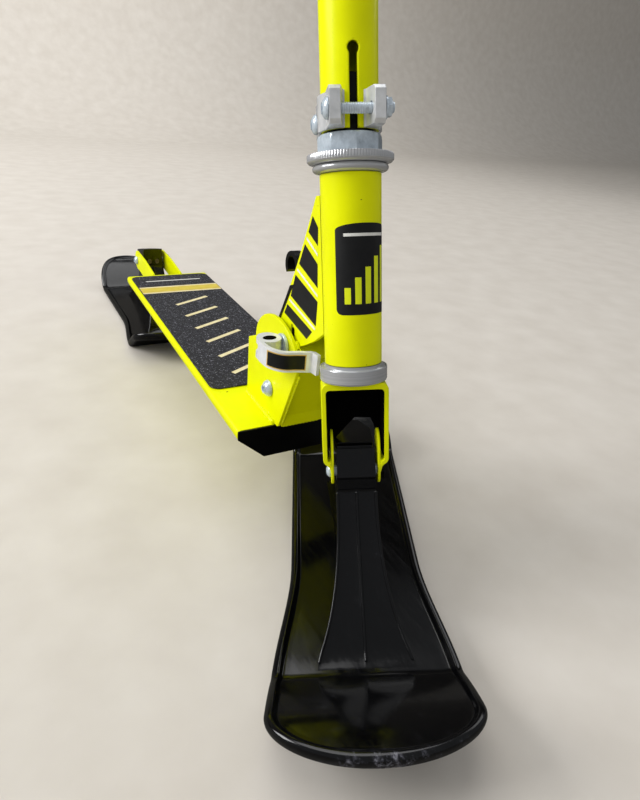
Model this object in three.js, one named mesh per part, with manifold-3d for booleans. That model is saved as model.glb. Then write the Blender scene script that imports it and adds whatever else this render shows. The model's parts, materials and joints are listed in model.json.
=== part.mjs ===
// A folding snow scooter: two plastic skis on axles, a steel deck, a folding neck and a T-bar.
// Millimetres, +Z up, forward is -Y, +X is the right-hand side for someone who faces the scooter's front.
import * as THREE from "three";
import { mergeVertices } from "three/addons/utils/BufferGeometryUtils.js";
import Module from "manifold-3d";

const wasm = await Module();
wasm.setup();

// Stance of the whole scooter
const axleHeight = 95; // both ski axles above the flat sole
const rakeAngle = 14.7; // steering axis leaning back from the deck's normal, degrees
const steerTurn = -27.4; // how far the steering is turned as it stands, degrees
const seatGap = 0.3; // left between pieces that touch
const runGap = 0.5; // left between pieces that move past each other
const overrun = 5; // how far a cutting tool reaches past what it cuts
const roundSides = 24; // sides of an ordinary round piece
const smallSides = 16; // sides of a small round piece
const ringSides = 30; // sides of the headset's rings and the bar tubes
const settleTurns = 12; // rounds of lowering the scooter until it stands

// Deck box
const deckWidth = 108;
const deckLength = 410;
const deckHeight = 29;
const deckLip = 8; // upright part of the side
const deckFloorWidth = 61;
const deckWall = 2;
const plugFlange = 1.6;
const plugDepth = 12;
const rearPlateThickness = 3;
const tapeThickness = 1;
const tapeMargin = 3; // from the deck's sides
const tapeFront = 72; // from the deck's front edge
const tapeRear = 7; // from the deck's rear edge
const tapeCorner = 9;

// Rear arms that hold the rear ski
const armReach = 95; // from the deck's rear edge to the rear axle
const armDrop = 6; // rear axle below the deck's top
const armThickness = 3;
const armHalfGap = 17; // centre plane to an arm's inner face
const armTipRadius = 13.5;
const armNeckHeight = 15; // arm's depth below the axle line near the deck
const armTipArc = [-110, 95]; // where the round tip starts and ends, degrees
const armRiseShare = 0.45; // place along the arm where its edges turn straight

// Axles
const axleRadius = 4;
const axleHeadRadius = 6;
const axleHeadHeight = 4.5;
const socketShare = 0.6; // hex socket's width as a share of the head's radius
const nutWidth = 12.6; // across flats
const nutHeight = 6.5;
const thrustWasherRadius = 8;
const bushWall = 2.4;

// Hinge on the deck
const cheekThickness = 3;
const cheekHalfGap = 19; // centre plane to a cheek's inner face
const cheekRear = 62; // rear foot from the deck's front edge
const cheekShoulder = 54; // height of the rear shoulder
const cheekStep = 15; // how far the head steps in from the shoulder
const cheekHeadHeight = 90;
const cheekHeadCentre = 62; // height where the head is widest
const cheekLean = 30; // how far the head's front overhangs the deck's front edge
const cheekFoot = 5; // overhang of the front foot
const webRecess = 3;
const webHeight = 60;
const pivotBack = 15; // neck pivot from the deck's front edge
const pivotHeight = 27;
const pivotRadius = 4;
const pivotHeadRadius = 6.9;
const pivotHeadHeight = 5.6;

// Latch
const latchBack = -6; // skewer from the deck's front edge
const latchHeight = 74;
const skewerRadius = 3;
const camRadius = 9.2;
const camHeight = 15.4;
const camPinRadius = 2.6;
const eyeRadius = 5;
const eyeHeight = 6.4;
const latchWasherRadius = 9;
const latchWasherThickness = 2.4;
const leverThickness = 2.8;
const leverTab = 14; // how far the lever's end stands ahead of the cheeks
const latchNutRadius = 7.5;
const latchNutLength = 9;
const knurlShare = 0.93; // radius at a knurl's root
const slotTurn = 12; // the lever's slot faces back and a little right, degrees
const leverBendShares = [1.4, 2.2, 2.7]; // the lever's bends ahead of the cheeks, in its thicknesses

// Neck and head tube
const headDrop = -68; // head tube's datum from the deck's front edge
const headRise = 83.7; // head tube's datum above the deck's top
const headRadius = 19;
const headWall = 2.2;
const headLow = 1.8; // lower end along the steering axis
const headLength = 117.4;
const neckThickness = 3;
const neckHalfGap = 13.8; // centre plane to a neck plate's inner face
const neckRoot = 14; // plate's radius about the pivot
const neckTopShare = 0.9; // top of the plates as a share of the head tube
const neckLowShare = 0.17; // where the plates leave the head tube
const neckFlareShare = 0.117; // how hollow the rear edge is
const neckBackShare = 0.75; // how far behind the head tube's axis the rear edge starts
const neckInsideShare = 0.4; // how far behind that axis the plates reach in
const neckWaistShare = 2.8; // rear edge's foot above the pivot, in root radii
const neckChinShares = [1 / 6, 1.3]; // front corner below the skewer, back and down in root radii
const neckJawShare = 0.85; // front corner beside the skewer, in root radii
const neckLipShares = [1.55, 2.7]; // front corner above it, in root radii and plate thicknesses
const neckEdgeSteps = 6;
const foldSweep = 50; // how far the plates' slots let the skewer travel, degrees
const windowWidth = 3.6; // narrow upright window above the skewer
const windowHeight = 9;
const coverThickness = 3;
const hookThickness = 7;
const hookRadius = 10;
const hookWall = 3.6;
const hookReach = 15; // ring's middle behind the neck's rear edge
const hookDrop = 4;
const coverProud = 1; // how far the back cover stands behind the plates
const hookArc = [170, -45]; // where the hook's ring starts and ends, degrees

// Headset
const steererRadius = 14.3;
const steererWall = 2.6;
const steererTop = 172;
const ringRadius = 22.6;
const ringChamfer = 1;
const lowerCupRadius = 21;
const lowerCupHeight = 3.4;
const cupInsert = 8;
const bearingHeight = 3;
const upperCupRadius = 23.4;
const upperCupHeight = 5.2;
const upperCupRound = 1.8;
const lowerCupRound = 1;
const ballCount = 14;
const raceRadius = 26.5;
const raceHeight = 5.4;
const raceTeeth = 64;
const raceToothDepth = 0.7;
const lockNutWidth = 36.9;
const lockNutHeight = 10.6;
const lockNutSides = 8;
const lockNutTurn = 24; // degrees

// Fork
const yokeHalfWidth = 22.4;
const yokeSheet = 3;
const yokeFront = 12.5;
const yokeRear = 12;
const yokeTop = -10.5; // along the steering axis
const crownThickness = 4.4;
const yokeFoot = -63.6;
const yokeCorner = 5;
const axleDrop = 76.5; // front axle below the head tube's datum
const earHalfGap = 14;
const earThickness = 3;
const earTop = -46;
const earRadius = 9;
const earWidth = 22;

// Stem clamp and lower bar tube
const barRadius = 17.2;
const barWall = 2.2;
const barBottom = 142.6;
const barTop = 440;
const slotWidth = 5;
const keyholeRadius = 3.5;
const keyholeHeight = 183.4;
const clampTurn = 4.5; // the clamp's gap turned from straight ahead, degrees
const clampBottom = 142.4;
const clampHeight = 19.6;
const clampWall = 1.9;
const lugHalfGap = 9.6; // at the lugs' front
const lugRootHalfGap = 5.6; // where they meet the tube
const clampBoltDrop = 1.2; // below the clamp's middle
const lugThickness = 6.2;
const lugReach = 31; // from the tube's axis to the lug's front face
const lugChamfer = 2.5;
const clampBoltRadius = 3.1;
const clampBoltReach = 25; // from the tube's axis
const clampHeadRadius = 6;
const clampHeadHeight = 3.6;
const clampWasherThickness = 1.2;
const clampNutWidth = 9.4;
const clampNutHeight = 3;
const rearLugHalfGap = 4;
const rearLugThickness = 13.6;
const rearLugReach = 27;
const rearBoltReach = 22.4;

// Height clamp and upper bar
const collarHeight = 24;
const collarWall = 3.2;
const collarLugReach = 30;
const collarLugHalfGap = 3;
const collarLugThickness = 6;
const collarSkewerReach = 25;
const collarSkewerRadius = 2.6;
const collarLeverLength = 52;
const collarCamRadius = 7.5;
const collarCamHeight = 13;
const collarNutWidth = 8.6;
const sleeveWall = 0.9;
const sleeveLength = 46;
const upperBarRadius = 13.6;
const upperBarWall = 1.8;
const upperBarBottom = 330;
const crossbarHeight = 655; // along the steering axis
const crossbarRadius = 11.1;
const crossbarWall = 1.8;
const crossbarHalf = 178;
const gripLength = 112;
const gripWall = 4.6;
const gripFlange = 3.4;
const gripFlangeWidth = 5;
const gripRound = 1; // rounding of the flange, and how much the grip's waist and end draw in
const capDepth = 12;
const capThickness = 3;
const capRound = 1;

// Ski
const skiAhead = 171; // tip ahead of the axle
const skiBehind = 217; // tail behind the axle
const skiTailHalf = 50.5; // half width at the tail's widest
const skiWaist = 49.5; // half width at the axle
const skiTipHalf = 61; // half width at the tip's widest
const skiFlareFrom = 5; // the tip's flare starts and ends here, ahead of the axle
const skiFlareTo = 112;
const skiTipRound = 33; // length of the tip's rounding
const skiTailRound = 60; // length of the tail's rounding
const skiTipRise = 33;
const skiTailRise = 36;
const skiTipBend = 98; // where the sole starts to rise
const skiTailBend = 150;
const skiFloor = 5.6; // thickness in the dish
const skiRim = 11; // rim's height above the sole
const skiRimWidth = 8;
const skiOutlineSteps = 26;
const dishShares = [[3.6, 0], [2.2, 0.2], [1.2, 0.65]]; // in rim widths inwards, share of the rise to the rim
const rimShares = [[0.7, 1], [0.3, 0.97], [0.05, 0.8], [0, 0.55], [0.1, 0.25], [0.4, 0.03], [0.7, 0]];
const headHalfWidth = 13.2;
const headTop = 13.5; // pylon above the axle
const headFront = 15; // pylon's front face ahead of the axle
const headWideBack = 27; // the head is full width back to here
const headBack = 41.5;
const headTailHalf = 6.5; // half width at the head's rear end
const rampFront = 103; // foot of the front ramp ahead of the axle
const rampBack = 112;
const rampHalfWidth = 35;
const rampRearHalf = 20;
const rampShare = 0.82; // share of the pylon's height where the ramps reach the head
const rampSlope = 1.35; // power that makes the ramps hollow
const rampFlare = 2.9; // power that spreads the ramps' feet
const pylonLevels = 12;
const ridgeProud = 2.4; // how proud the middle ridge stands
const pocketWidth = 7.5;
const pocketHeight = 8;
const pocketDepth = 5;
const pocketShare = 0.72; // place of the pockets' middles as a share of their width

const degree = Math.PI / 180;
const quarter = Math.PI / 2;

// Finishes
const paint = new THREE.MeshStandardMaterial({ color: 0xe9f500, roughness: 0.28, metalness: 0.1 });
const blackPlastic = new THREE.MeshStandardMaterial({ color: 0x0b0b0c, roughness: 0.25, metalness: 0 });
const gripTapeFinish = new THREE.MeshStandardMaterial({ color: 0x2b2b2d, roughness: 0.95, metalness: 0 });
const aluminium = new THREE.MeshStandardMaterial({ color: 0xc9cbcd, roughness: 0.35, metalness: 1 });
const zinc = new THREE.MeshStandardMaterial({ color: 0xb9c3cb, roughness: 0.4, metalness: 1 });
const nylon = new THREE.MeshStandardMaterial({ color: 0xdcdcd6, roughness: 0.6, metalness: 0 });
const rubber = new THREE.MeshStandardMaterial({ color: 0x161617, roughness: 0.85, metalness: 0 });

// Joins equal corners, drops collapsed triangles and turns the faces outwards
function tidied(geometry) {
  let bare = geometry.clone();
  bare.deleteAttribute("normal");
  bare.deleteAttribute("uv");
  bare = mergeVertices(bare);
  const place = bare.getAttribute("position");
  const source = bare.getIndex().array;
  const kept = [];
  let volume = 0;
  const a = new THREE.Vector3();
  const b = new THREE.Vector3();
  const c = new THREE.Vector3();
  for (let i = 0; i < source.length; i += 3) {
    const [p, q, r] = [source[i], source[i + 1], source[i + 2]];
    if (p === q || q === r || r === p) continue;
    kept.push(p, q, r);
    a.fromBufferAttribute(place, p);
    b.fromBufferAttribute(place, q);
    c.fromBufferAttribute(place, r);
    volume += a.dot(b.cross(c));
  }
  if (volume < 0) {
    for (let i = 0; i < kept.length; i += 3) [kept[i], kept[i + 1]] = [kept[i + 1], kept[i]];
  }
  bare.setIndex(kept);
  return bare;
}

function toSolid(geometry) {
  const clean = tidied(geometry);
  const vertProperties = new Float32Array(clean.getAttribute("position").array);
  const triVerts = new Uint32Array(clean.getIndex().array);
  return new wasm.Manifold(new wasm.Mesh({ numProp: 3, vertProperties, triVerts }));
}

function fromSolid(solid) {
  const mesh = solid.getMesh();
  const geometry = new THREE.BufferGeometry();
  geometry.setAttribute("position", new THREE.BufferAttribute(new Float32Array(mesh.vertProperties), 3));
  geometry.setIndex(new THREE.BufferAttribute(new Uint32Array(mesh.triVerts), 1));
  return geometry;
}

function joined(first, ...others) {
  let solid = toSolid(first);
  for (const other of others) solid = solid.add(toSolid(other));
  return fromSolid(solid);
}

function cut(first, ...tools) {
  let solid = toSolid(first);
  for (const tool of tools) solid = solid.subtract(toSolid(tool));
  return fromSolid(solid);
}

function common(first, second) {
  return fromSolid(toSolid(first).intersect(toSolid(second)));
}

function moved(geometry, x, y, z) {
  return geometry.clone().translate(x, y, z);
}

// Round bar or tube along X, Y or Z, centred on the origin
function rod(radius, length, axis, sides = roundSides) {
  const bar = new THREE.CylinderGeometry(radius, radius, length, sides);
  if (axis === "x") return bar.rotateZ(quarter);
  if (axis === "z") return bar.rotateX(quarter);
  return bar;
}

function tube(outer, inner, length, axis, sides = roundSides) {
  const bore = rod(inner, length + overrun, axis, sides);
  return cut(rod(outer, length, axis, sides), bore);
}

function block(sizeX, sizeY, sizeZ) {
  return new THREE.BoxGeometry(sizeX, sizeY, sizeZ);
}

// Turned piece about Z from points of radius and height
function turned(points, sides = roundSides) {
  const profile = points.map(([radius, height]) => new THREE.Vector2(radius, height));
  return new THREE.LatheGeometry(profile, sides).rotateX(quarter);
}

function prism(points, depth) {
  const shape = new THREE.Shape(points.map(([a, b]) => new THREE.Vector2(a, b)));
  return new THREE.ExtrudeGeometry(shape, { depth, bevelEnabled: false });
}

// Outline in Y and Z, thickened along +X from the given place
function sidePlate(points, from, thickness) {
  const turn = new THREE.Matrix4();
  turn.makeBasis(new THREE.Vector3(0, 1, 0), new THREE.Vector3(0, 0, 1), new THREE.Vector3(1, 0, 0));
  return prism(points, thickness).applyMatrix4(turn).translate(from, 0, 0);
}

// Outline in X and Z, thickened along +Y from the given place
function frontPlate(points, from, thickness) {
  const turn = new THREE.Matrix4();
  turn.makeBasis(new THREE.Vector3(1, 0, 0), new THREE.Vector3(0, 0, 1), new THREE.Vector3(0, -1, 0));
  return prism(points, thickness).applyMatrix4(turn).translate(0, from + thickness, 0);
}

// Points of an arc from one angle to another, in degrees
function arc(centreA, centreB, radiusA, radiusB, from, to, steps) {
  const points = [];
  for (let i = 0; i <= steps; i += 1) {
    const angle = (from + ((to - from) * i) / steps) * degree;
    points.push([centreA + radiusA * Math.cos(angle), centreB + radiusB * Math.sin(angle)]);
  }
  return points;
}

// Outline moved inwards by a distance, for an outline that runs anticlockwise
function inset(points, distance) {
  const count = points.length;
  const lines = points.map((from, i) => {
    const to = points[(i + 1) % count];
    const length = Math.hypot(to[0] - from[0], to[1] - from[1]);
    const normal = [-(to[1] - from[1]) / length, (to[0] - from[0]) / length];
    return { normal, offset: normal[0] * from[0] + normal[1] * from[1] + distance };
  });
  return lines.map((line, i) => {
    const before = lines[(i + count - 1) % count];
    const across = before.normal[0] * line.normal[1] - before.normal[1] * line.normal[0];
    return [
      (before.offset * line.normal[1] - line.offset * before.normal[1]) / across,
      (before.normal[0] * line.offset - line.normal[0] * before.offset) / across,
    ];
  });
}

function roundedRectangle(halfA, halfB, corner, steps) {
  return [
    ...arc(halfA - corner, halfB - corner, corner, corner, 0, 90, steps),
    ...arc(corner - halfA, halfB - corner, corner, corner, 90, 180, steps),
    ...arc(corner - halfA, corner - halfB, corner, corner, 180, 270, steps),
    ...arc(halfA - corner, corner - halfB, corner, corner, 270, 360, steps),
  ];
}

function hexagon(acrossFlats, sides = 6) {
  const radius = acrossFlats / 2 / Math.cos(Math.PI / sides);
  return arc(0, 0, radius, radius, 180 / sides, 360 + 180 / sides, sides).slice(1);
}

// Nut along X with its bore
function nutAlongX(width, height, bore) {
  const body = prism(hexagon(width), height).rotateY(quarter).translate(-height / 2, 0, 0);
  return cut(body, rod(bore, height + overrun, "x", smallSides));
}

// Domed bolt head on a shank along X: the head ends at the origin's left and the shank runs right
function buttonBolt(headRadius, headHeight, shankRadius, shankLength) {
  const dome = arc(0, 0, headRadius, headHeight, 0, 90, 3);
  const profile = [[0, 0], ...dome];
  const head = turned(profile, roundSides).rotateY(-quarter);
  const shank = rod(shankRadius, shankLength, "x", smallSides);
  shank.translate(shankLength / 2 - headHeight / 3, 0, 0);
  const socket = prism(hexagon(headRadius * socketShare), headHeight).rotateY(-quarter);
  return cut(joined(head, shank), socket.translate(-headHeight * (1 - socketShare), 0, 0));
}

function part(name, geometry, material, parent) {
  const mesh = new THREE.Mesh(tidied(geometry), material);
  mesh.geometry.computeVertexNormals();
  mesh.name = name;
  parent.add(mesh);
  return mesh;
}

// Groups: the frame's own space starts at the middle of the deck's front top edge
const scooter = new THREE.Group();
const frame = new THREE.Group();
const rearAxle = new THREE.Vector3(0, deckLength + armReach, -armDrop);
scooter.add(frame);

const head = new THREE.Group();
head.position.set(0, headDrop, headRise);
head.rotation.x = -rakeAngle * degree;
frame.add(head);

const steering = new THREE.Group();
steering.rotation.z = steerTurn * degree;
head.add(steering);

// Deck
const deckOutline = [
  [-deckWidth / 2, 0],
  [-deckWidth / 2, -deckLip],
  [-deckFloorWidth / 2, -deckHeight],
  [deckFloorWidth / 2, -deckHeight],
  [deckWidth / 2, -deckLip],
  [deckWidth / 2, 0],
];
const deckStart = plugFlange + seatGap;
const deckEnd = deckLength - rearPlateThickness - seatGap;

function deckBox() {
  const outside = frontPlate(deckOutline, deckStart, deckEnd - deckStart);
  const hollow = frontPlate(inset(deckOutline, deckWall), -overrun, deckLength + 2 * overrun);
  return cut(outside, hollow);
}

function frontPlug() {
  const flange = frontPlate(deckOutline, 0, plugFlange);
  const fit = frontPlate(inset(deckOutline, deckWall + seatGap), plugFlange / 2, plugDepth);
  const inside = inset(deckOutline, 2 * deckWall + seatGap);
  const hollow = frontPlate(inside, plugFlange + deckWall, plugDepth + overrun);
  return cut(joined(flange, fit), hollow);
}

function gripTape() {
  const halfWidth = deckWidth / 2 - tapeMargin;
  const halfLength = (deckLength - tapeFront - tapeRear) / 2;
  const sheet = prism(roundedRectangle(halfWidth, halfLength, tapeCorner, 4), tapeThickness);
  return sheet.translate(0, tapeFront + halfLength, seatGap);
}

part("deck_box", deckBox(), paint, frame);
part("deck_front_plug", frontPlug(), blackPlastic, frame);
const rearPlate = frontPlate(deckOutline, deckLength - rearPlateThickness, rearPlateThickness);
part("deck_rear_plate", rearPlate, paint, frame);
part("grip_tape", gripTape(), gripTapeFinish, frame);

// Rear arms and axle
function rearArm(side) {
  const [axleBack, axleUp] = [deckLength + armReach, -armDrop];
  const start = deckLength + seatGap;
  const outline = [
    [start, -deckHeight + deckWall],
    ...arc(axleBack, axleUp, armTipRadius, armTipRadius, ...armTipArc, 14),
    [axleBack - armReach * armRiseShare, axleUp + armTipRadius - deckWall / 2],
    [start, deckWall / 2],
  ];
  outline.splice(1, 0, [axleBack - armReach * armRiseShare, axleUp - armNeckHeight]);
  const plate = sidePlate(outline, side > 0 ? armHalfGap : -armHalfGap - armThickness, armThickness);
  return cut(plate, rod(axleRadius + seatGap, 2 * deckWidth, "x", smallSides).translate(0, axleBack, axleUp));
}

// Axle bolt and nut along X about the given middle, for plates whose outer faces are at halfSpan
function axleSet(name, parent, halfSpan, middleY, middleZ) {
  const underHead = halfSpan + seatGap;
  const length = 2 * underHead + nutHeight + axleHeadHeight;
  const bolt = buttonBolt(axleHeadRadius, axleHeadHeight, axleRadius, length);
  part(`${name}_bolt`, moved(bolt, -underHead, middleY, middleZ), zinc, parent);
  const nut = nutAlongX(nutWidth, nutHeight, axleRadius + seatGap);
  part(`${name}_nut`, moved(nut, underHead + nutHeight / 2, middleY, middleZ), zinc, parent);
}

part("rear_arm_left", rearArm(-1), paint, frame);
part("rear_arm_right", rearArm(1), paint, frame);
axleSet("rear_axle", frame, armHalfGap + armThickness, rearAxle.y, rearAxle.z);

// Hinge cheeks, web and pivot
function cheek(side) {
  const headBackEdge = cheekRear - cheekStep;
  const headMiddle = (headBackEdge - cheekLean) / 2;
  const headHalf = (headBackEdge + cheekLean) / 2;
  const outline = [
    [cheekRear, seatGap],
    [cheekRear, cheekShoulder],
    ...arc(headMiddle, cheekHeadCentre, headHalf, cheekHeadHeight - cheekHeadCentre, 0, 180, 18),
    [-cheekFoot, deckWall],
    [-cheekFoot / 2, seatGap],
  ];
  const plate = sidePlate(outline, side > 0 ? cheekHalfGap : -cheekHalfGap - cheekThickness, cheekThickness);
  const pivotHole = rod(pivotRadius + seatGap, 2 * deckWidth, "x", smallSides);
  const latchHole = rod(skewerRadius + seatGap, 2 * deckWidth, "x", smallSides);
  return cut(plate, moved(pivotHole, 0, pivotBack, pivotHeight), moved(latchHole, 0, latchBack, latchHeight));
}

// Sheet between the cheeks, a little behind their front edges
function frontWeb() {
  const slope = (cheekLean - cheekFoot) / (cheekHeadCentre - deckWall);
  const front = (height) => webRecess - cheekFoot - slope * (height - deckWall);
  const outline = [
    [front(seatGap) + webRecess, seatGap],
    [front(webHeight) + webRecess, webHeight],
    [front(webHeight), webHeight],
    [front(seatGap), seatGap],
  ];
  const halfWidth = cheekHalfGap - seatGap;
  return sidePlate(outline, -halfWidth, 2 * halfWidth);
}

part("hinge_cheek_left", cheek(-1), paint, frame);
part("hinge_cheek_right", cheek(1), paint, frame);
part("hinge_front_web", frontWeb(), paint, frame);

function hingePivot() {
  const outer = cheekHalfGap + cheekThickness + seatGap;
  const length = 2 * outer + nutHeight + pivotHeadHeight;
  const bolt = buttonBolt(pivotHeadRadius, pivotHeadHeight, pivotRadius, length);
  part("hinge_pivot_bolt", moved(bolt, -outer, pivotBack, pivotHeight), zinc, frame);
  const nut = nutAlongX(nutWidth, nutHeight, pivotRadius + seatGap);
  part("hinge_pivot_nut", moved(nut, outer + nutHeight / 2, pivotBack, pivotHeight), zinc, frame);
  const thickness = cheekHalfGap - neckHalfGap - neckThickness - 2 * runGap;
  const washer = tube(thrustWasherRadius, pivotRadius + seatGap, thickness, "x", smallSides);
  const reach = cheekHalfGap - runGap - thickness / 2;
  for (const [side, sign] of [["left", -1], ["right", 1]]) {
    part(`hinge_thrust_washer_${side}`, moved(washer, sign * reach, pivotBack, pivotHeight), nylon, frame);
  }
}
hingePivot();

// Latch: skewer with an eye, cam pin, washer and nut, and the lever on the pin
const camX = -cheekHalfGap - cheekThickness - seatGap - latchWasherThickness - runGap - camRadius;

function latchSkewer() {
  const right = cheekHalfGap + cheekThickness + seatGap + latchNutLength + skewerRadius;
  const bar = rod(skewerRadius, right - camX, "x", smallSides).translate((right + camX) / 2, 0, 0);
  const eye = rod(eyeRadius, eyeHeight, "z", smallSides).translate(camX, 0, 0);
  const hole = rod(camPinRadius + seatGap, camHeight, "z", smallSides).translate(camX, 0, 0);
  return cut(joined(bar, eye), hole).translate(0, latchBack, latchHeight);
}

function latchNut() {
  const knurl = arc(0, 0, latchNutRadius, latchNutRadius, 0, 360, roundSides).slice(1);
  const notched = knurl.map(([a, b], i) => (i % 2 ? [a * knurlShare, b * knurlShare] : [a, b]));
  const body = prism(notched, latchNutLength).rotateY(quarter);
  const nut = cut(body, rod(skewerRadius + seatGap, 3 * latchNutLength, "x", smallSides));
  return nut.translate(cheekHalfGap + cheekThickness + seatGap, latchBack, latchHeight);
}

part("latch_skewer", latchSkewer(), zinc, frame);
part("latch_nut", latchNut(), zinc, frame);
const latchWasher = tube(latchWasherRadius, skewerRadius + seatGap, latchWasherThickness, "x", roundSides);
const latchWasherX = -cheekHalfGap - cheekThickness - seatGap - latchWasherThickness / 2;
part("latch_washer", moved(latchWasher, latchWasherX, latchBack, latchHeight), aluminium, frame);
const camPin = rod(camPinRadius, camHeight - 2 * camPinRadius, "z", smallSides);
part("latch_cam_pin", moved(camPin, camX, latchBack, latchHeight), zinc, frame);

// Strip of even thickness along a path in X and Y, standing on the given height
function strip(path, thickness, low, height) {
  const curve = new THREE.CatmullRomCurve3(path.map(([x, y]) => new THREE.Vector3(x, y, 0)));
  const steps = 4 * (path.length - 1);
  const left = [];
  const right = [];
  for (let i = 0; i <= steps; i += 1) {
    const point = curve.getPointAt(i / steps);
    const along = curve.getTangentAt(i / steps);
    left.push([point.x - (along.y * thickness) / 2, point.y + (along.x * thickness) / 2]);
    right.unshift([point.x + (along.y * thickness) / 2, point.y - (along.x * thickness) / 2]);
  }
  return prism([...left, ...right], height).translate(0, 0, low);
}

// The lever hugs the hinge: from the cam it runs forward, then in across the front of the neck
function latchLever() {
  const low = latchHeight - camHeight / 2;
  const outer = camX - camRadius + leverThickness / 2;
  const front = -cheekLean - leverThickness / 2;
  const [bendA, bendB, bendC] = leverBendShares.map((share) => front - share * leverThickness);
  const path = [
    [outer, latchBack],
    [outer - seatGap, latchBack - camRadius],
    [outer + leverThickness / 2, latchBack - 2 * camRadius],
    [camX, front - leverThickness / 3],
    [camX + camRadius, bendA],
    [-cheekHalfGap, bendB],
    [-neckHalfGap - leverThickness / 2, bendC],
    [-neckHalfGap, front - leverTab],
  ];
  const arm = strip(path, leverThickness, low, camHeight);
  const barrel = rod(camRadius, camHeight, "z", roundSides).translate(camX, latchBack, latchHeight);
  const pinHole = rod(camPinRadius + seatGap, 2 * camHeight, "z", smallSides);
  const slotHeight = eyeHeight + 2 * runGap;
  const eyeRoom = rod(eyeRadius + runGap, slotHeight, "z", smallSides);
  const sector = block(3 * camRadius, 2 * camRadius, slotHeight);
  sector.translate(0, camRadius - skewerRadius - runGap, 0).rotateZ(-slotTurn * degree);
  const tools = [pinHole, eyeRoom, sector].map((tool) => moved(tool, camX, latchBack, latchHeight));
  return cut(joined(arm, barrel), ...tools);
}
part("latch_lever", latchLever(), aluminium, frame);

// Neck: two plates from the head tube down to the pivot, with a slot that lets the skewer out forwards
const headAxis = new THREE.Vector2(Math.sin(rakeAngle * degree), Math.cos(rakeAngle * degree));
const latchRadius = Math.hypot(pivotBack - latchBack, latchHeight - pivotHeight);
const latchAngle = Math.atan2(latchHeight - pivotHeight, latchBack - pivotBack) / degree;

function onHead(share, back) {
  const along = headLow + headLength * share;
  const place = headDrop + headAxis.x * along + headAxis.y * back;
  return [place, headRise + headAxis.y * along - headAxis.x * back];
}

// Rear edge of the neck, from the top down, as a curve that flares backwards
function neckRearEdge() {
  const [topY, topZ] = onHead(neckTopShare, headRadius * neckBackShare);
  const lowY = pivotBack + neckThickness;
  const lowZ = cheekHeadHeight - 2 * neckThickness;
  const points = [];
  for (let i = 0; i <= neckEdgeSteps; i += 1) {
    const t = i / neckEdgeSteps;
    const flare = neckFlareShare * (topZ - lowZ) * t * (t - 1);
    points.push([topY + (lowY - topY) * t + flare, topZ + (lowZ - topZ) * t]);
  }
  return points;
}

function neckOutline() {
  const inside = headRadius * neckInsideShare;
  const [chinBack, chinDrop] = neckChinShares;
  const [lipShareBack, lipShareUp] = neckLipShares;
  const [lipBack, lipHeight] = onHead(neckLowShare, headRadius);
  return [
    onHead(neckTopShare, inside),
    ...neckRearEdge(),
    [pivotBack + neckRoot - neckThickness, pivotHeight + neckWaistShare * neckRoot],
    ...arc(pivotBack, pivotHeight, neckRoot, neckRoot, 0, -180, 12),
    [pivotBack - neckRoot, pivotHeight + neckRoot],
    [latchBack - chinBack * neckRoot, latchHeight - chinDrop * neckRoot],
    [latchBack - neckJawShare * neckRoot, latchHeight + neckThickness],
    [latchBack - lipShareBack * neckRoot, latchHeight + lipShareUp * neckThickness],
    [lipBack + neckThickness, lipHeight - 3 * neckThickness],
    onHead(neckLowShare, inside),
  ];
}

function headTubeRoom() {
  const room = rod(headRadius + seatGap, 3 * headLength, "z", roundSides);
  return room.rotateX(-rakeAngle * degree).translate(0, headDrop, headRise);
}

function neckPlate(side) {
  const from = side > 0 ? neckHalfGap : -neckHalfGap - neckThickness;
  const plate = sidePlate(neckOutline().reverse(), from, neckThickness);
  const slotHalf = skewerRadius + runGap;
  const [outer, inner] = [latchRadius + slotHalf, latchRadius - slotHalf];
  const slotSweep = [
    ...arc(pivotBack, pivotHeight, outer, outer, latchAngle, latchAngle + foldSweep, 10),
    ...arc(pivotBack, pivotHeight, inner, inner, latchAngle + foldSweep, latchAngle, 10),
  ];
  const slot = sidePlate(slotSweep, from - overrun, neckThickness + 2 * overrun);
  const slotEnd = rod(slotHalf, 4 * deckWidth, "x", smallSides).translate(0, latchBack, latchHeight);
  const pivotHole = rod(pivotRadius + seatGap, 4 * deckWidth, "x", smallSides);
  pivotHole.translate(0, pivotBack, pivotHeight);
  return cut(plate, headTubeRoom(), slot, slotEnd, pivotHole, lockWindow(from));
}

// Narrow upright window in the plate just above the skewer
function lockWindow(from) {
  const window = roundedRectangle(windowWidth / 2, windowHeight / 2, windowWidth / 2 - seatGap, 3);
  const plate = sidePlate(window, from - overrun, neckThickness + 2 * overrun);
  return plate.translate(0, latchBack - windowWidth / 3, latchHeight + skewerRadius + windowHeight);
}

// Plastic strip that closes the neck's back, with a hook that opens downwards
function backCover() {
  const edge = neckRearEdge().slice(0, 6);
  const outer = edge.map(([y, z]) => [y + coverProud, z]);
  const inner = edge.map(([y, z]) => [y + coverProud - coverThickness, z]).reverse();
  const halfWidth = neckHalfGap - seatGap;
  const sheet = sidePlate([...outer, ...inner].reverse(), -halfWidth, 2 * halfWidth);
  const [edgeY, edgeZ] = edge[3];
  const centreY = edgeY + hookReach;
  const centreZ = edgeZ - hookDrop;
  const [start, end] = hookArc;
  const bore = hookRadius - hookWall;
  const ring = [
    ...arc(centreY, centreZ, hookRadius, hookRadius, start, end, 14),
    ...arc(centreY, centreZ, bore, bore, end, start, 10),
  ];
  const hook = sidePlate(ring.reverse(), -halfWidth, hookThickness);
  const rootDepth = hookReach - hookRadius + hookWall + coverThickness;
  const root = block(hookThickness, rootDepth, hookRadius);
  root.translate(hookThickness / 2 - halfWidth, centreY - hookRadius + hookWall - rootDepth / 2, centreZ);
  return cut(joined(sheet, hook, root), headTubeRoom());
}

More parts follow.
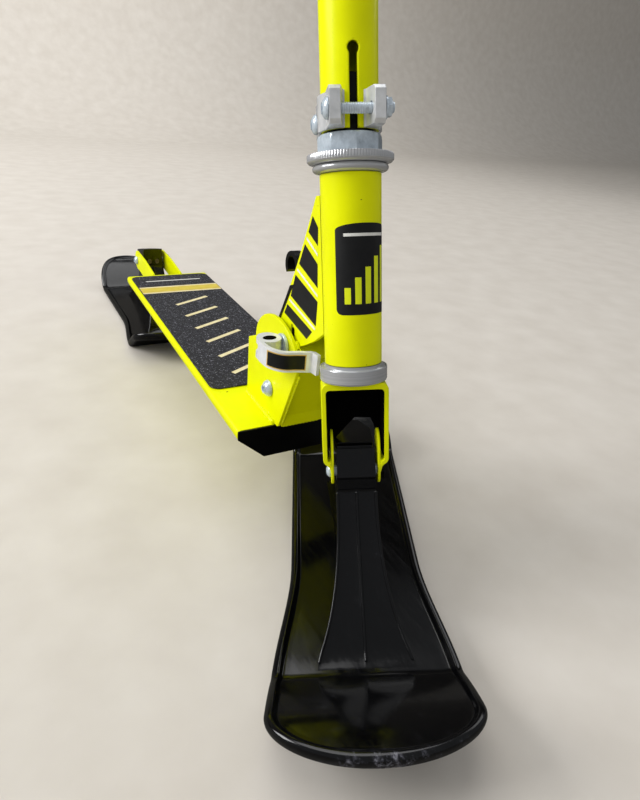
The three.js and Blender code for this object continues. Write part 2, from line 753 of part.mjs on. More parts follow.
part("neck_plate_left", neckPlate(-1), paint, frame);
part("neck_plate_right", neckPlate(1), paint, frame);
part("neck_back_cover", backCover(), blackPlastic, frame);
const bushLength = 2 * (neckHalfGap - seatGap);
const pivotBush = tube(pivotRadius + seatGap + bushWall, pivotRadius + seatGap, bushLength, "x", smallSides);
part("neck_pivot_bush", moved(pivotBush, 0, pivotBack, pivotHeight), nylon, frame);

// Head tube and the parts pressed into it
const headHigh = headLow + headLength;
const headBore = headRadius - headWall;
const bearingOuter = headRadius - headWall / 2;
const steererBore = steererRadius + seatGap;
const headTube = tube(headRadius, headBore, headLength, "z").translate(0, 0, headLow + headLength / 2);
part("head_tube", headTube, paint, head);

// Profile of a cup: flange outside the tube, sleeve inside it, room for the bearing at its face
function cupProfile(radius, flange, round) {
  const sleeve = headBore - seatGap;
  return [
    [steererBore + runGap, flange - bearingHeight - runGap],
    [bearingOuter, flange - bearingHeight - runGap],
    [bearingOuter, flange],
    [radius - round, flange],
    [radius, flange - round / 2],
    [radius, round],
    [radius - round, seatGap],
    [sleeve, seatGap],
    [sleeve, -cupInsert],
    [steererBore + runGap, -cupInsert],
    [steererBore + runGap, flange - bearingHeight - runGap],
  ];
}

const upperCup = turned(cupProfile(upperCupRadius, upperCupHeight, upperCupRound), ringSides);
part("upper_cup", moved(upperCup, 0, 0, headHigh), aluminium, head);
const lowerCupShape = cupProfile(lowerCupRadius, lowerCupHeight + bearingHeight, lowerCupRound);
const lowerCup = turned(lowerCupShape, ringSides).rotateX(Math.PI).translate(0, 0, headLow);
part("lower_cup", lowerCup, aluminium, head);

// Ball ring: seen from above, a row of balls held in a cage
function ballRing() {
  const middle = (bearingOuter + steererBore) / 2;
  const half = (bearingOuter - steererBore) / 2 - runGap;
  const outline = [];
  for (let i = 0; i < 4 * ballCount; i += 1) {
    const angle = (i / 4 / ballCount) * 2 * Math.PI;
    const radius = middle + half * (i % 4 === 0 ? 1 / 2 : 1);
    outline.push([radius * Math.cos(angle), radius * Math.sin(angle)]);
  }
  const body = prism(outline, bearingHeight - runGap).translate(0, 0, (runGap - bearingHeight) / 2);
  return cut(body, rod(middle - half, 2 * bearingHeight, "z"));
}
const bearingShift = (bearingHeight + runGap) / 2;
const upperBearingHeight = headHigh + upperCupHeight - bearingShift;
const lowerBearingHeight = headLow - lowerCupHeight - bearingHeight + bearingShift;
part("upper_bearing", ballRing().translate(0, 0, upperBearingHeight), zinc, head);
part("lower_bearing", ballRing().translate(0, 0, lowerBearingHeight), zinc, head);

// Steerer, races and lock nut
const crownRaceTop = headLow - lowerCupHeight - bearingHeight - seatGap;
const crownRaceBottom = yokeTop + seatGap;

function crownRace() {
  const profile = [
    [steererBore, crownRaceBottom],
    [ringRadius - ringChamfer, crownRaceBottom],
    [ringRadius, crownRaceBottom + ringChamfer],
    [ringRadius, crownRaceTop - ringChamfer],
    [ringRadius - ringChamfer, crownRaceTop],
    [steererBore, crownRaceTop],
    [steererBore, crownRaceBottom],
  ];
  return turned(profile, ringSides);
}

// Knurled ring: a toothed outline with a plain chamfered skirt below
function adjustingRace(bottom) {
  const teeth = [];
  for (let i = 0; i < raceTeeth * 2; i += 1) {
    const angle = (i / raceTeeth) * Math.PI;
    const radius = raceRadius - (i % 2) * raceToothDepth;
    teeth.push([radius * Math.cos(angle), radius * Math.sin(angle)]);
  }
  const skirtHeight = raceHeight / 4;
  const knurled = prism(teeth, raceHeight - skirtHeight).translate(0, 0, bottom + skirtHeight);
  const skirt = turned([
    [0, bottom],
    [raceRadius - skirtHeight - raceToothDepth, bottom],
    [raceRadius - raceToothDepth, bottom + skirtHeight + seatGap],
    [0, bottom + skirtHeight + seatGap],
  ], ringSides);
  return cut(joined(knurled, skirt), rod(steererBore, 8 * raceHeight, "z").translate(0, 0, bottom));
}

function lockNut(bottom) {
  const body = prism(hexagon(lockNutWidth, lockNutSides), lockNutHeight).translate(0, 0, bottom);
  const corner = lockNutWidth / 2 / Math.cos(Math.PI / lockNutSides);
  const chamfer = corner - lockNutWidth / 2 + seatGap;
  const bevel = turned([
    [0, bottom - overrun],
    [corner + overrun, bottom - overrun],
    [corner + overrun, bottom + lockNutHeight - chamfer - overrun / 2],
    [corner - chamfer, bottom + lockNutHeight],
    [corner - chamfer, bottom + lockNutHeight + overrun],
    [0, bottom + lockNutHeight + overrun],
  ], ringSides);
  return cut(common(body, bevel), rod(steererBore, 8 * lockNutHeight, "z").translate(0, 0, bottom));
}

const raceBottom = headHigh + upperCupHeight + seatGap;
const lockNutBottom = raceBottom + raceHeight + seatGap;
const steererBottom = yokeTop + seatGap;
const steererLength = steererTop - steererBottom;
const steererTube = tube(steererRadius, steererRadius - steererWall, steererLength, "z");
part("steerer_tube", moved(steererTube, 0, 0, steererBottom + steererLength / 2), zinc, steering);
part("crown_race", crownRace(), aluminium, steering);
part("adjusting_race", adjustingRace(raceBottom), aluminium, steering);
part("lock_nut", lockNut(lockNutBottom).rotateZ(lockNutTurn * degree), zinc, steering);

// Fork: a folded yoke whose feet turn in to the ears
function forkYoke() {
  const outer = yokeHalfWidth;
  const inner = yokeHalfWidth - yokeSheet;
  const footInner = earHalfGap + earThickness + seatGap;
  const footDepth = outer - footInner;
  const innerDepth = footDepth - yokeSheet;
  const fillet = yokeCorner / 2;
  const crownLow = yokeTop - crownThickness;
  const half = [
    ...arc(outer - yokeCorner, yokeTop - yokeCorner, yokeCorner, yokeCorner, 90, 0, 5),
    ...arc(footInner, yokeFoot, footDepth, footDepth, 0, -90, 5),
    [footInner, yokeFoot - footDepth + yokeSheet],
    ...arc(footInner, yokeFoot, innerDepth, innerDepth, -90, 0, 3).slice(1),
    ...arc(inner - fillet, crownLow - fillet, fillet, fillet, 0, 90, 4),
  ];
  const mirrored = half.map(([x, z]) => [-x, z]).reverse();
  const channel = frontPlate([...half, ...mirrored].reverse(), -yokeFront, yokeFront + yokeRear);
  return cut(channel, rod(steererRadius - steererWall, 4 * crownThickness, "z").translate(0, 0, yokeTop));
}

function forkEar(side) {
  const outline = [
    ...arc(0, -axleDrop, earWidth / 2, earRadius, 180, 360, 12),
    [earWidth / 2, -axleDrop + earRadius],
    ...arc(0, earTop - earWidth / 2, earWidth / 2, earWidth / 2, 0, 180, 10),
    [-earWidth / 2, -axleDrop + earRadius],
  ];
  const plate = sidePlate(outline, side > 0 ? earHalfGap : -earHalfGap - earThickness, earThickness);
  return cut(plate, rod(axleRadius + seatGap, 2 * deckWidth, "x", smallSides).translate(0, 0, -axleDrop));
}

part("fork_yoke", forkYoke(), paint, steering);
part("fork_ear_left", forkEar(-1), paint, steering);
part("fork_ear_right", forkEar(1), paint, steering);
axleSet("front_axle", steering, earHalfGap + earThickness, 0, -axleDrop);

// Lower bar tube with its keyhole slot, which faces the clamp's gap
const clampGroup = new THREE.Group();
clampGroup.rotation.z = clampTurn * degree;
steering.add(clampGroup);

function lowerBarTube() {
  const length = barTop - barBottom;
  const body = tube(barRadius, barRadius - barWall, length, "z", ringSides);
  body.translate(0, 0, barBottom + length / 2);
  const slotLength = keyholeHeight - barBottom + overrun;
  const slotReach = 2 * barRadius;
  const slot = block(slotWidth, slotReach, slotLength);
  slot.translate(0, -slotReach / 2, keyholeHeight - slotLength / 2);
  const keyhole = rod(keyholeRadius, slotReach, "y", smallSides).translate(0, -slotReach / 2, keyholeHeight);
  const topSlotLength = collarHeight + 2 * slotWidth;
  const topSlot = block(slotWidth, slotReach, topSlotLength + overrun);
  topSlot.translate(0, slotReach / 2, barTop - topSlotLength / 2 + overrun / 2);
  return cut(body, slot, keyhole, topSlot);
}
part("lower_bar_tube", lowerBarTube(), paint, clampGroup);

// Stem clamp: thin ring, two tall lugs in front and a closed boss behind for the second bolt
function stemClamp() {
  const middle = clampBottom + clampHeight / 2;
  const bore = barRadius + seatGap;
  const ringBody = rod(bore + clampWall, clampHeight, "z", ringSides).translate(0, 0, middle);
  const lugOutline = (side) => {
    const inner = side * lugHalfGap;
    const outer = side * (lugHalfGap + lugThickness);
    const points = [
      [side * lugRootHalfGap, 0],
      [side * lugRootHalfGap, -barRadius + clampWall],
      [inner, -lugReach],
      [outer, -lugReach],
      [outer, 0],
    ];
    return side > 0 ? points : points.reverse();
  };
  const lug = (side) => prism(lugOutline(side), clampHeight).translate(0, 0, clampBottom);
  const rearHalf = rearLugHalfGap + rearLugThickness;
  const boss = block(2 * rearHalf, rearLugReach, clampHeight).translate(0, rearLugReach / 2, middle);
  const body = joined(ringBody, lug(-1), lug(1), boss);
  const gap = block(2 * lugRootHalfGap, 2 * lugReach, clampHeight + overrun).translate(0, -lugReach, middle);
  const rearGap = block(2 * rearLugHalfGap, rearLugReach, clampHeight + overrun);
  rearGap.translate(0, bore + clampWall + rearLugReach / 2, middle);
  const bevel = block(4 * lugReach, lugChamfer * 2, lugChamfer * 2).rotateX(Math.PI / 4);
  const corner = -lugReach - lugChamfer / 2;
  const bevels = [clampBottom, clampBottom + clampHeight].map((height) => moved(bevel, 0, corner, height));
  const boltHole = rod(clampBoltRadius + seatGap, 4 * lugReach, "x", smallSides);
  return cut(
    body,
    rod(bore, 2 * clampHeight, "z", ringSides).translate(0, 0, middle),
    gap,
    rearGap,
    ...bevels,
    moved(boltHole, 0, -clampBoltReach, middle - clampBoltDrop),
    moved(boltHole, 0, rearBoltReach, middle - clampBoltDrop),
  );
}
part("stem_clamp", stemClamp(), aluminium, clampGroup);

// Both clamp bolts have their heads on the left and their nuts on the right
function clampFasteners() {
  const middle = clampBottom + clampHeight / 2 - clampBoltDrop;
  const frontFace = lugHalfGap + lugThickness + seatGap;
  const rearFace = rearLugHalfGap + rearLugThickness + seatGap;
  const washer = tube(clampHeadRadius, clampBoltRadius + seatGap, clampWasherThickness, "x", smallSides);
  const washerX = frontFace + clampWasherThickness / 2;
  part("clamp_washer", moved(washer, washerX, -clampBoltReach, middle), zinc, clampGroup);
  const places = [
    ["front", frontFace, frontFace + clampWasherThickness + seatGap, -clampBoltReach],
    ["rear", rearFace, rearFace, rearBoltReach],
  ];
  for (const [name, headFace, nutFace, reach] of places) {
    const length = headFace + nutFace + clampNutHeight + clampHeadHeight / 3 + clampWasherThickness / 2;
    const bolt = buttonBolt(clampHeadRadius, clampHeadHeight, clampBoltRadius, length);
    part(`clamp_bolt_${name}`, moved(bolt, -headFace, reach, middle), zinc, clampGroup);
    const nut = nutAlongX(clampNutWidth, clampNutHeight, clampBoltRadius + seatGap);
    part(`clamp_nut_${name}`, moved(nut, nutFace + clampNutHeight / 2, reach, middle), zinc, clampGroup);
  }
}
clampFasteners();

// Height clamp at the top of the lower tube, with its skewer, nut and lever at the back
const collarMiddle = barTop - collarHeight / 2;

function heightCollar() {
  const bore = barRadius + seatGap;
  const outerWidth = collarLugHalfGap + collarLugThickness;
  const ringBody = rod(bore + collarWall, collarHeight, "z", ringSides);
  const lugs = block(2 * outerWidth, collarLugReach, collarHeight).translate(0, collarLugReach / 2, 0);
  const gap = block(2 * collarLugHalfGap, 2 * collarLugReach, 2 * collarHeight);
  gap.translate(0, collarLugReach, 0);
  const hole = rod(collarSkewerRadius + seatGap, 8 * outerWidth, "x", smallSides);
  hole.translate(0, collarSkewerReach, 0);
  const opening = rod(bore, 2 * collarHeight, "z", ringSides);
  return cut(joined(ringBody, lugs), opening, gap, hole).translate(0, 0, collarMiddle);
}

const collarFace = collarLugHalfGap + collarLugThickness + seatGap;
const collarCamX = -collarFace - runGap - collarCamRadius;

function heightSkewer() {
  const right = collarFace + nutHeight + collarSkewerRadius;
  const bar = rod(collarSkewerRadius, right - collarCamX, "x", smallSides);
  bar.translate((right + collarCamX) / 2, 0, 0);
  const pin = rod(camPinRadius, collarCamHeight + camPinRadius, "z", smallSides).translate(collarCamX, 0, 0);
  return joined(bar, pin).translate(0, collarSkewerReach, collarMiddle);
}

function heightLever() {
  const barrel = rod(collarCamRadius, collarCamHeight, "z", roundSides);
  const start = -collarCamRadius + leverThickness / 2;
  const path = [
    [start, 0],
    [start, -collarCamRadius],
    [start - leverThickness, -collarLeverLength / 2],
    [start - leverThickness, -collarLeverLength],
  ];
  const arm = strip(path, leverThickness, -collarCamHeight / 2, collarCamHeight);
  const slot = block(3 * collarCamRadius, 2 * collarCamRadius, 2 * (collarSkewerRadius + runGap));
  slot.translate(0, collarCamRadius - collarSkewerRadius - runGap, 0).rotateZ(-slotTurn * degree);
  const pinHole = rod(camPinRadius + seatGap, 2 * collarCamHeight, "z", smallSides);
  return cut(joined(barrel, arm), slot, pinHole).translate(collarCamX, collarSkewerReach, collarMiddle);
}

part("height_collar", heightCollar(), aluminium, clampGroup);
part("height_skewer", heightSkewer(), zinc, clampGroup);
const heightNut = nutAlongX(collarNutWidth, nutHeight, collarSkewerRadius + seatGap);
heightNut.translate(collarFace + nutHeight / 2, collarSkewerReach, collarMiddle);
part("height_nut", heightNut, zinc, clampGroup);
part("height_lever", heightLever(), aluminium, clampGroup);

// Sleeve in the lower tube's mouth, and the upper bar that slides in it
const sleeveOuter = barRadius - barWall - seatGap / 2;
const barSleeve = tube(sleeveOuter, sleeveOuter - sleeveWall, sleeveLength, "z", ringSides);
part("bar_sleeve", moved(barSleeve, 0, 0, barTop - sleeveLength / 2), nylon, steering);

function upperBarTube() {
  const length = crossbarHeight - upperBarBottom;
  const body = rod(upperBarRadius, length, "z", ringSides).translate(0, 0, upperBarBottom + length / 2);
  const boreLength = length - crossbarRadius - 2 * upperBarWall;
  const bore = rod(upperBarRadius - upperBarWall, boreLength + overrun, "z", ringSides);
  bore.translate(0, 0, upperBarBottom + (boreLength - overrun) / 2);
  const saddle = rod(crossbarRadius + seatGap, 4 * upperBarRadius, "x", ringSides);
  return cut(body, bore, saddle.translate(0, 0, crossbarHeight));
}

const crossbarTube = tube(crossbarRadius, crossbarRadius - crossbarWall, 2 * crossbarHalf, "x");
part("upper_bar_tube", upperBarTube(), paint, steering);
part("crossbar", moved(crossbarTube, 0, 0, crossbarHeight), paint, steering);

// Grip: a sleeve with a flange at its inner end and a closed outer end
function grip(side) {
  const inner = crossbarHalf - gripLength + capThickness;
  const outer = crossbarHalf + capThickness;
  const radius = crossbarRadius + gripWall;
  const profile = [
    [crossbarRadius + seatGap, inner],
    [radius + gripFlange - gripRound, inner],
    [radius + gripFlange, inner + gripRound],
    [radius + gripFlange, inner + gripFlangeWidth - gripRound],
    [radius, inner + gripFlangeWidth],
    [radius - gripRound, (inner + outer) / 2],
    [radius, outer - 2 * gripFlangeWidth],
    [radius - gripRound, outer],
    [crossbarRadius + seatGap, outer],
    [crossbarRadius + seatGap, inner],
  ];
  return turned(profile).rotateY(side * quarter).translate(0, 0, crossbarHeight);
}

function barCap(side) {
  const fit = crossbarRadius - crossbarWall - seatGap;
  const start = crossbarHalf - capDepth;
  const end = crossbarHalf + capThickness + capThickness;
  const plug = turned([
    [0, start],
    [fit, start],
    [fit, crossbarHalf + seatGap],
    [crossbarRadius, crossbarHalf + seatGap],
    [crossbarRadius - capRound, end - capRound],
    [crossbarRadius - 2 * capRound, end],
    [0, end],
  ]);
  return plug.rotateY(side * quarter).translate(0, 0, crossbarHeight);
}

for (const [name, side] of [["left", -1], ["right", 1]]) {
  part(`grip_${name}`, grip(side), rubber, steering);
  part(`end_cap_${name}`, barCap(side), blackPlastic, steering);
}

// Half width of the ski at a place ahead of the axle, with an even flare and a rounded end
function skiHalfAt(ahead) {
  const t = Math.min(1, Math.max(0, (ahead - skiFlareFrom) / (skiFlareTo - skiFlareFrom)));
  const flare = (skiTipHalf - skiWaist) * t * t * (3 - 2 * t);
  const tail = (skiTailHalf - skiWaist) * Math.min(1, Math.max(0, -ahead) / skiTailBend);
  const end = ahead > 0 ? skiAhead : -skiBehind;
  const roundLength = ahead > 0 ? skiTipRound : skiTailRound;
  const inEnd = Math.max(0, 1 - Math.abs(end - ahead) / roundLength);
  return (skiWaist + flare + tail) * Math.sqrt(Math.max(0, 1 - inEnd * inEnd));
}

// Both ends bend up sharply and then flatten out like a quarter of a sine
function skiRiseAt(ahead) {
  const tip = Math.max(0, (ahead - skiTipBend) / (skiAhead - skiTipBend));
  const tail = Math.max(0, (-ahead - skiTailBend) / (skiBehind - skiTailBend));
  return skiTipRise * Math.sin(tip * quarter) + skiTailRise * Math.sin(tail * quarter);
}

// Outline of the ski from above, crowded at both ends
function skiOutline() {
  const side = [];
  for (let i = 1; i < skiOutlineSteps; i += 1) {
    const even = i / skiOutlineSteps;
    const crowded = (1 - Math.cos(even * Math.PI)) / 2;
    const ahead = -skiBehind + ((skiAhead + skiBehind) * (even + 3 * crowded)) / 4;
    side.push([skiHalfAt(ahead), ahead]);
  }
  const back = side.map(([x, ahead]) => [-x, ahead]).reverse();
  return [[0, -skiBehind], ...side, [0, skiAhead], ...back];
}

// Joins rows of points, each a closed loop, into a skin; the first and last rows are closed by flat fans
function skinOf(rows, fans) {
  const count = rows[0].length;
  const index = [];
  for (let row = 0; row < rows.length - 1; row += 1) {
    for (let i = 0; i < count; i += 1) {
      const a = row * count + i;
      const b = row * count + ((i + 1) % count);
      index.push(a, b, a + count, b, b + count, a + count);
    }
  }
  if (fans) {
    const last = (rows.length - 1) * count;
    for (let i = 1; i < count - 1; i += 1) index.push(0, i + 1, i, last, last + i, last + i + 1);
  }
  const skin = new THREE.BufferGeometry();
  skin.setAttribute("position", new THREE.Float32BufferAttribute(rows.flat(2), 3));
  skin.setIndex(index);
  return skin;
}

// Ski tray: the outline drawn in towards a middle spine, over the rounded rim and back under the sole
function skiTray() {
  const section = [
    [Infinity, skiFloor],
    ...dishShares.map(([inward, rise]) => [inward * skiRimWidth, skiFloor + (skiRim - skiFloor) * rise]),
    ...rimShares.map(([inward, height]) => [inward * skiRimWidth, height * skiRim]),
    [Infinity, 0],
  ];
  const spineFront = skiAhead - skiTipRound;
  const spineBack = -skiBehind + skiTailRound;
  const rows = section.map(([inward, height]) =>
    skiOutline().map(([x, ahead]) => {
      const spine = Math.min(spineFront, Math.max(spineBack, ahead));
      const reach = Math.hypot(x, ahead - spine);
      const share = Math.max(0, 1 - inward / Math.max(reach, seatGap));
      const place = spine + (ahead - spine) * share;
      return [x * share, -place, height + skiRiseAt(place)];
    }),
  );
  return skinOf(rows, false);
}

// Pylon: level rings from the spread feet on the tray up to the head at the axle
function skiPylon() {
  const low = skiFloor / 2;
  const high = axleHeight + headTop;
  const rows = [];
  for (let i = 0; i <= pylonLevels; i += 1) {
    const t = i / pylonLevels;
    const open = Math.max(0, 1 - t / rampShare);
    const front = headFront + (rampFront - headFront) * open ** rampSlope;
    const back = headBack + (rampBack - headBack) * open ** rampSlope;
    const half = headHalfWidth + (rampHalfWidth - headHalfWidth) * open ** rampFlare;
    const rearHalf = headTailHalf + (rampRearHalf - headTailHalf) * open ** rampFlare;
    const ring = [
      [0, front + ridgeProud * Math.min(1, 3 * open)],
      [half / 2, front - ridgeProud * open],
      [half, front],
      [headHalfWidth, front * (1 - headHalfWidth / (2 * half))],
      [headHalfWidth, -headWideBack],
      [rearHalf, -back + ridgeProud],
      [0, -back],
    ];
    const left = ring.slice(1, -1).map(([x, ahead]) => [-x, ahead]).reverse();
    const height = low + (high - low) * t;
    rows.push([...ring, ...left].map(([x, ahead]) => [x, -ahead, height]));
  }
  return common(skinOf(rows, true), skiSide());
}

// Side outline that rounds the head's front top corner about the axle
function skiSide() {
  const high = axleHeight + headTop;
  const outline = [
    [-skiAhead, 0],
    [skiBehind, 0],
    [skiBehind, high],
    [0, high],
    ...arc(0, axleHeight, headFront + ridgeProud, headTop, 90, 180, 6).slice(1),
    [-skiAhead, axleHeight - ridgeProud],
  ];
  return sidePlate(outline, -skiTipHalf, 2 * skiTipHalf);
}

function ski() {
  const pocket = block(pocketWidth, 2 * pocketDepth, pocketHeight);
  const pocketAside = pocketWidth * pocketShare;
  const pockets = [-1, 1].map((side) => moved(pocket, side * pocketAside, -headFront, axleHeight));
  const bore = axleRadius + seatGap + bushWall + seatGap;
  const hole = rod(bore, 2 * deckWidth, "x", smallSides).translate(0, 0, axleHeight);
  return cut(joined(skiTray(), skiPylon()), hole, ...pockets).translate(0, 0, -axleHeight);
}

const skiShape = ski();
const skiBushBore = axleRadius + seatGap;
const skiBush = tube(skiBushBore + bushWall, skiBushBore, 2 * headHalfWidth, "x", smallSides);

const frontSki = new THREE.Group();
frontSki.position.z = -axleDrop;
steering.add(frontSki);
const frontSkiBody = part("front_ski", skiShape, blackPlastic, frontSki);
part("front_ski_bush", skiBush, nylon, frontSki);

const rearSki = new THREE.Group();
rearSki.position.z = axleHeight;
scooter.add(rearSki);
part("rear_ski", skiShape, blackPlastic, rearSki);
part("rear_ski_bush", skiBush, nylon, rearSki);

// The front ski pitches on its axle until its length lies level
function levelFrontSki() {
  frontSki.rotation.x = 0;
  scooter.updateMatrixWorld(true);
  const forward = new THREE.Vector3(0, -1, 0).transformDirection(steering.matrixWorld);
  const upward = new THREE.Vector3(0, 0, 1).transformDirection(steering.matrixWorld);
  frontSki.rotation.x = Math.atan2(forward.z, upward.z);
  scooter.updateMatrixWorld(true);
}

// The frame pitches about the rear axle until the lower edge of the turned front ski meets the ground
function settle() {
  const wheelbase = rearAxle.y - headDrop + axleDrop * Math.sin(rakeAngle * degree);
  for (let turn = 0; turn < settleTurns; turn += 1) {
    frame.position.copy(rearAxle).applyEuler(frame.rotation).negate();
    frame.position.z += axleHeight;
    levelFrontSki();
    const lowest = new THREE.Box3().setFromObject(frontSkiBody, true).min.z;
    frame.rotation.x += lowest / wheelbase;
  }
}
settle();

export default scooter;
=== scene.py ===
import json
import math

import bmesh
import bpy
import numpy as np
from mathutils import Matrix

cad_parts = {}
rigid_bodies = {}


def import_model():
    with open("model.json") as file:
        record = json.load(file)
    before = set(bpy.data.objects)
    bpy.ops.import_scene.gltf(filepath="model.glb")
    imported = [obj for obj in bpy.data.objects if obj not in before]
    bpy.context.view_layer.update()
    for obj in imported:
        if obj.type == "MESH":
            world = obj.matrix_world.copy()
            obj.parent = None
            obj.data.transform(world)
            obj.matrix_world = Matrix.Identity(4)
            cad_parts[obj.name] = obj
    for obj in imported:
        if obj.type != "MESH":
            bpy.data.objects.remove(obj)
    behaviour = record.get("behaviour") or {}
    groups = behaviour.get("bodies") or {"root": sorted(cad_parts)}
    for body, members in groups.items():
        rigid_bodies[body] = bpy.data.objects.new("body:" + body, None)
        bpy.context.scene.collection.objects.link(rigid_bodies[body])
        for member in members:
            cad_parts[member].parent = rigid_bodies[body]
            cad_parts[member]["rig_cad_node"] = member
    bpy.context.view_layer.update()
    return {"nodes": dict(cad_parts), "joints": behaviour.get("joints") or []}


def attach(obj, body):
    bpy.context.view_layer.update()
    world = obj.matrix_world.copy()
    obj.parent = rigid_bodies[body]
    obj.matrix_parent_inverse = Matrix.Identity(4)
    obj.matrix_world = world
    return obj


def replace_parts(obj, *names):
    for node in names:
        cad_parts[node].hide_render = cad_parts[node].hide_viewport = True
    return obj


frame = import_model()
nodes = frame["nodes"]
joints = {joint["name"]: joint for joint in frame["joints"]}
millimetre = 0.001
sides = (("left", -1), ("right", 1))
print("frame loaded")


# Spaces: each is (rotation, origin in metres), read off the joints, so the pieces follow the CAD
def unit(vector):
    # the vector over its own length
    vector = np.asarray(vector, float)
    return vector / np.linalg.norm(vector)


def spaceOf(xAxis, zAxis, origin):
    # y completes the right-handed set
    return np.column_stack([xAxis, np.cross(zAxis, xAxis), zAxis]), np.asarray(origin, float)


def turnedSpace(space, degrees):
    # turned about the space's own z
    c, s = math.cos(math.radians(degrees)), math.sin(math.radians(degrees))
    return space[0] @ np.array([[c, -s, 0], [s, c, 0], [0, 0, 1]]), space[1]


def inSpace(points, space):
    # millimetres in the space -> metres in the world
    return np.asarray(points, float).reshape(-1, 3) * millimetre @ space[0].T + space[1]


def placed(turn, place):
    # rotation and place as one 4x4 matrix
    return Matrix(np.block([[turn, place[:, None]], [np.zeros((1, 3)), np.ones((1, 1))]]).tolist())


stance = {"pivotInDeck": (0, 15, 27), "clampTurn": 4.5, "axleHeight": 95}
acrossAxis = np.array([1.0, 0, 0])
deckTurn = spaceOf(acrossAxis, -unit(joints["latch_lever_swing"]["axis"]), (0, 0, 0))[0]
pivotPlace = np.array(joints["neck_fold"]["pos_m"])
deckSpace = (deckTurn, pivotPlace - deckTurn @ np.array(stance["pivotInDeck"]) * millimetre)
steerAxis = unit(joints["steer"]["axis"])
headSpace = spaceOf(acrossAxis, steerAxis, joints["steer"]["pos_m"])
frontAxle = -unit(joints["front_ski_pitch"]["axis"])
steerAcross = unit(frontAxle - steerAxis * (frontAxle @ steerAxis))
steerSpace = spaceOf(steerAcross, steerAxis, joints["steer"]["pos_m"])
clampSpace = turnedSpace(steerSpace, stance["clampTurn"])
levelBack = unit(np.cross((0, 0, 1), frontAxle))
frontSkiSpace = spaceOf(frontAxle, np.cross(frontAxle, levelBack), joints["front_ski_pitch"]["pos_m"])
rearSkiSpace = spaceOf(acrossAxis, (0, 0, 1), joints["rear_ski_pitch"]["pos_m"])

# Camera: fitted to the deck, the ski and the steering, so it is given in the deck's space
camera = {
    "place": (-195.04, -353.31, 243.53), "pan": 31.08, "tilt": 28.83, "roll": 5.98,
    "focalPixels": 564.37, "longSidePixels": 800,
}


def addCamera():
    # pan and tilt give the forward axis, and the level axes are rolled about it
    pan, tilt, roll = (math.radians(camera[key]) for key in ("pan", "tilt", "roll"))
    forward = np.array([math.sin(pan) * math.cos(tilt), math.cos(pan) * math.cos(tilt), -math.sin(tilt)])
    level = np.array([math.cos(pan), -math.sin(pan), 0])
    upright = np.cross(level, forward)
    right = math.cos(roll) * level + math.sin(roll) * upright
    up = math.cos(roll) * upright - math.sin(roll) * level
    data = bpy.data.cameras.new("photoCamera")
    data.lens = data.sensor_width * camera["focalPixels"] / camera["longSidePixels"]
    eye = bpy.data.objects.new("photoCamera", data)
    turn = deckSpace[0] @ np.column_stack([right, up, -forward])
    eye.matrix_world = placed(turn, inSpace(camera["place"], deckSpace)[0])
    bpy.context.scene.collection.objects.link(eye)
    bpy.context.scene.camera = eye


addCamera()
bpy.context.scene.view_settings.view_transform = "Standard"
print("camera placed")


# Materials
def linear(hexColour):
    # sRGB hex -> linear RGBA
    channels = [int(hexColour[i : i + 2], 16) / 255 for i in (1, 3, 5)]
    return tuple(c / 12.92 if c <= 0.04045 else ((c + 0.055) / 1.055) ** 2.4 for c in channels) + (1.0,)


def addNode(tree, kind, settings=None, values=None, links=None):
    # settings are attributes, values go on sockets, links join a socket to an output
    node = tree.nodes.new(kind)
    for key, value in (settings or {}).items():
        setattr(node, key, value)
    for key, value in (values or {}).items():
        node.inputs[key].default_value = value
    for key, output in (links or {}).items():
        tree.links.new(output, node.inputs[key])
    return node


def newMaterial(name, **values):
    # returns the material, its tree, its shader and a coordinate output in object space
    material = bpy.data.materials.new(name)
    material.use_nodes = True
    tree = material.node_tree
    shader = tree.nodes["Principled BSDF"]
    for key, value in values.items():
        shader.inputs[key.replace("_", " ")].default_value = value
    return material, tree, shader, addNode(tree, "ShaderNodeTexCoord").outputs["Object"]


def perMetre(sizeInMillimetres):
    # a pattern scale from its real size
    return 1 / (sizeInMillimetres * millimetre)


def addBump(tree, shader, height, strength, depthInMillimetres):
    # the height bends the shading by a real depth
    values = {"Strength": strength, "Distance": depthInMillimetres * millimetre}
    bump = addNode(tree, "ShaderNodeBump", values=values, links={"Height": height})
    tree.links.new(bump.outputs["Normal"], shader.inputs["Normal"])


def addRamp(tree, factor, stops):
    # stops are (position, hex colour)
    ramp = addNode(tree, "ShaderNodeValToRGB", links={"Fac": factor})
    elements = ramp.color_ramp.elements
    while len(elements) < len(stops):
        elements.new(0.5)
    for element, (position, colour) in zip(elements, stops):
        element.position = position
        element.color = linear(colour)
    return ramp.outputs["Color"]


def tint(tree, shader, factor, stops, socket="Base Color"):
    # a ramp straight onto a socket of the shader
    tree.links.new(addRamp(tree, factor, stops), shader.inputs[socket])


def addMix(tree, shader, factor, colour, hexColour):
    # the base colour goes from a colour to a plain one with the factor
    mix = addNode(tree, "ShaderNodeMix", {"data_type": "RGBA"}, links={"Factor": factor, "A": colour})
    mix.inputs["B"].default_value = linear(hexColour)
    tree.links.new(mix.outputs["Result"], shader.inputs["Base Color"])


def addRange(tree, value, start, end, low, high):
    # from low to high while the value goes from start to end
    values = {"From Min": start, "From Max": end, "To Min": low, "To Max": high}
    return addNode(tree, "ShaderNodeMapRange", values=values, links={"Value": value}).outputs["Result"]


def distanceAlong(tree, place, axis):
    # place times axis, in metres
    along = addNode(tree, "ShaderNodeVectorMath", {"operation": "DOT_PRODUCT"}, links={0: place})
    along.inputs[1].default_value = axis
    return along.outputs["Value"]


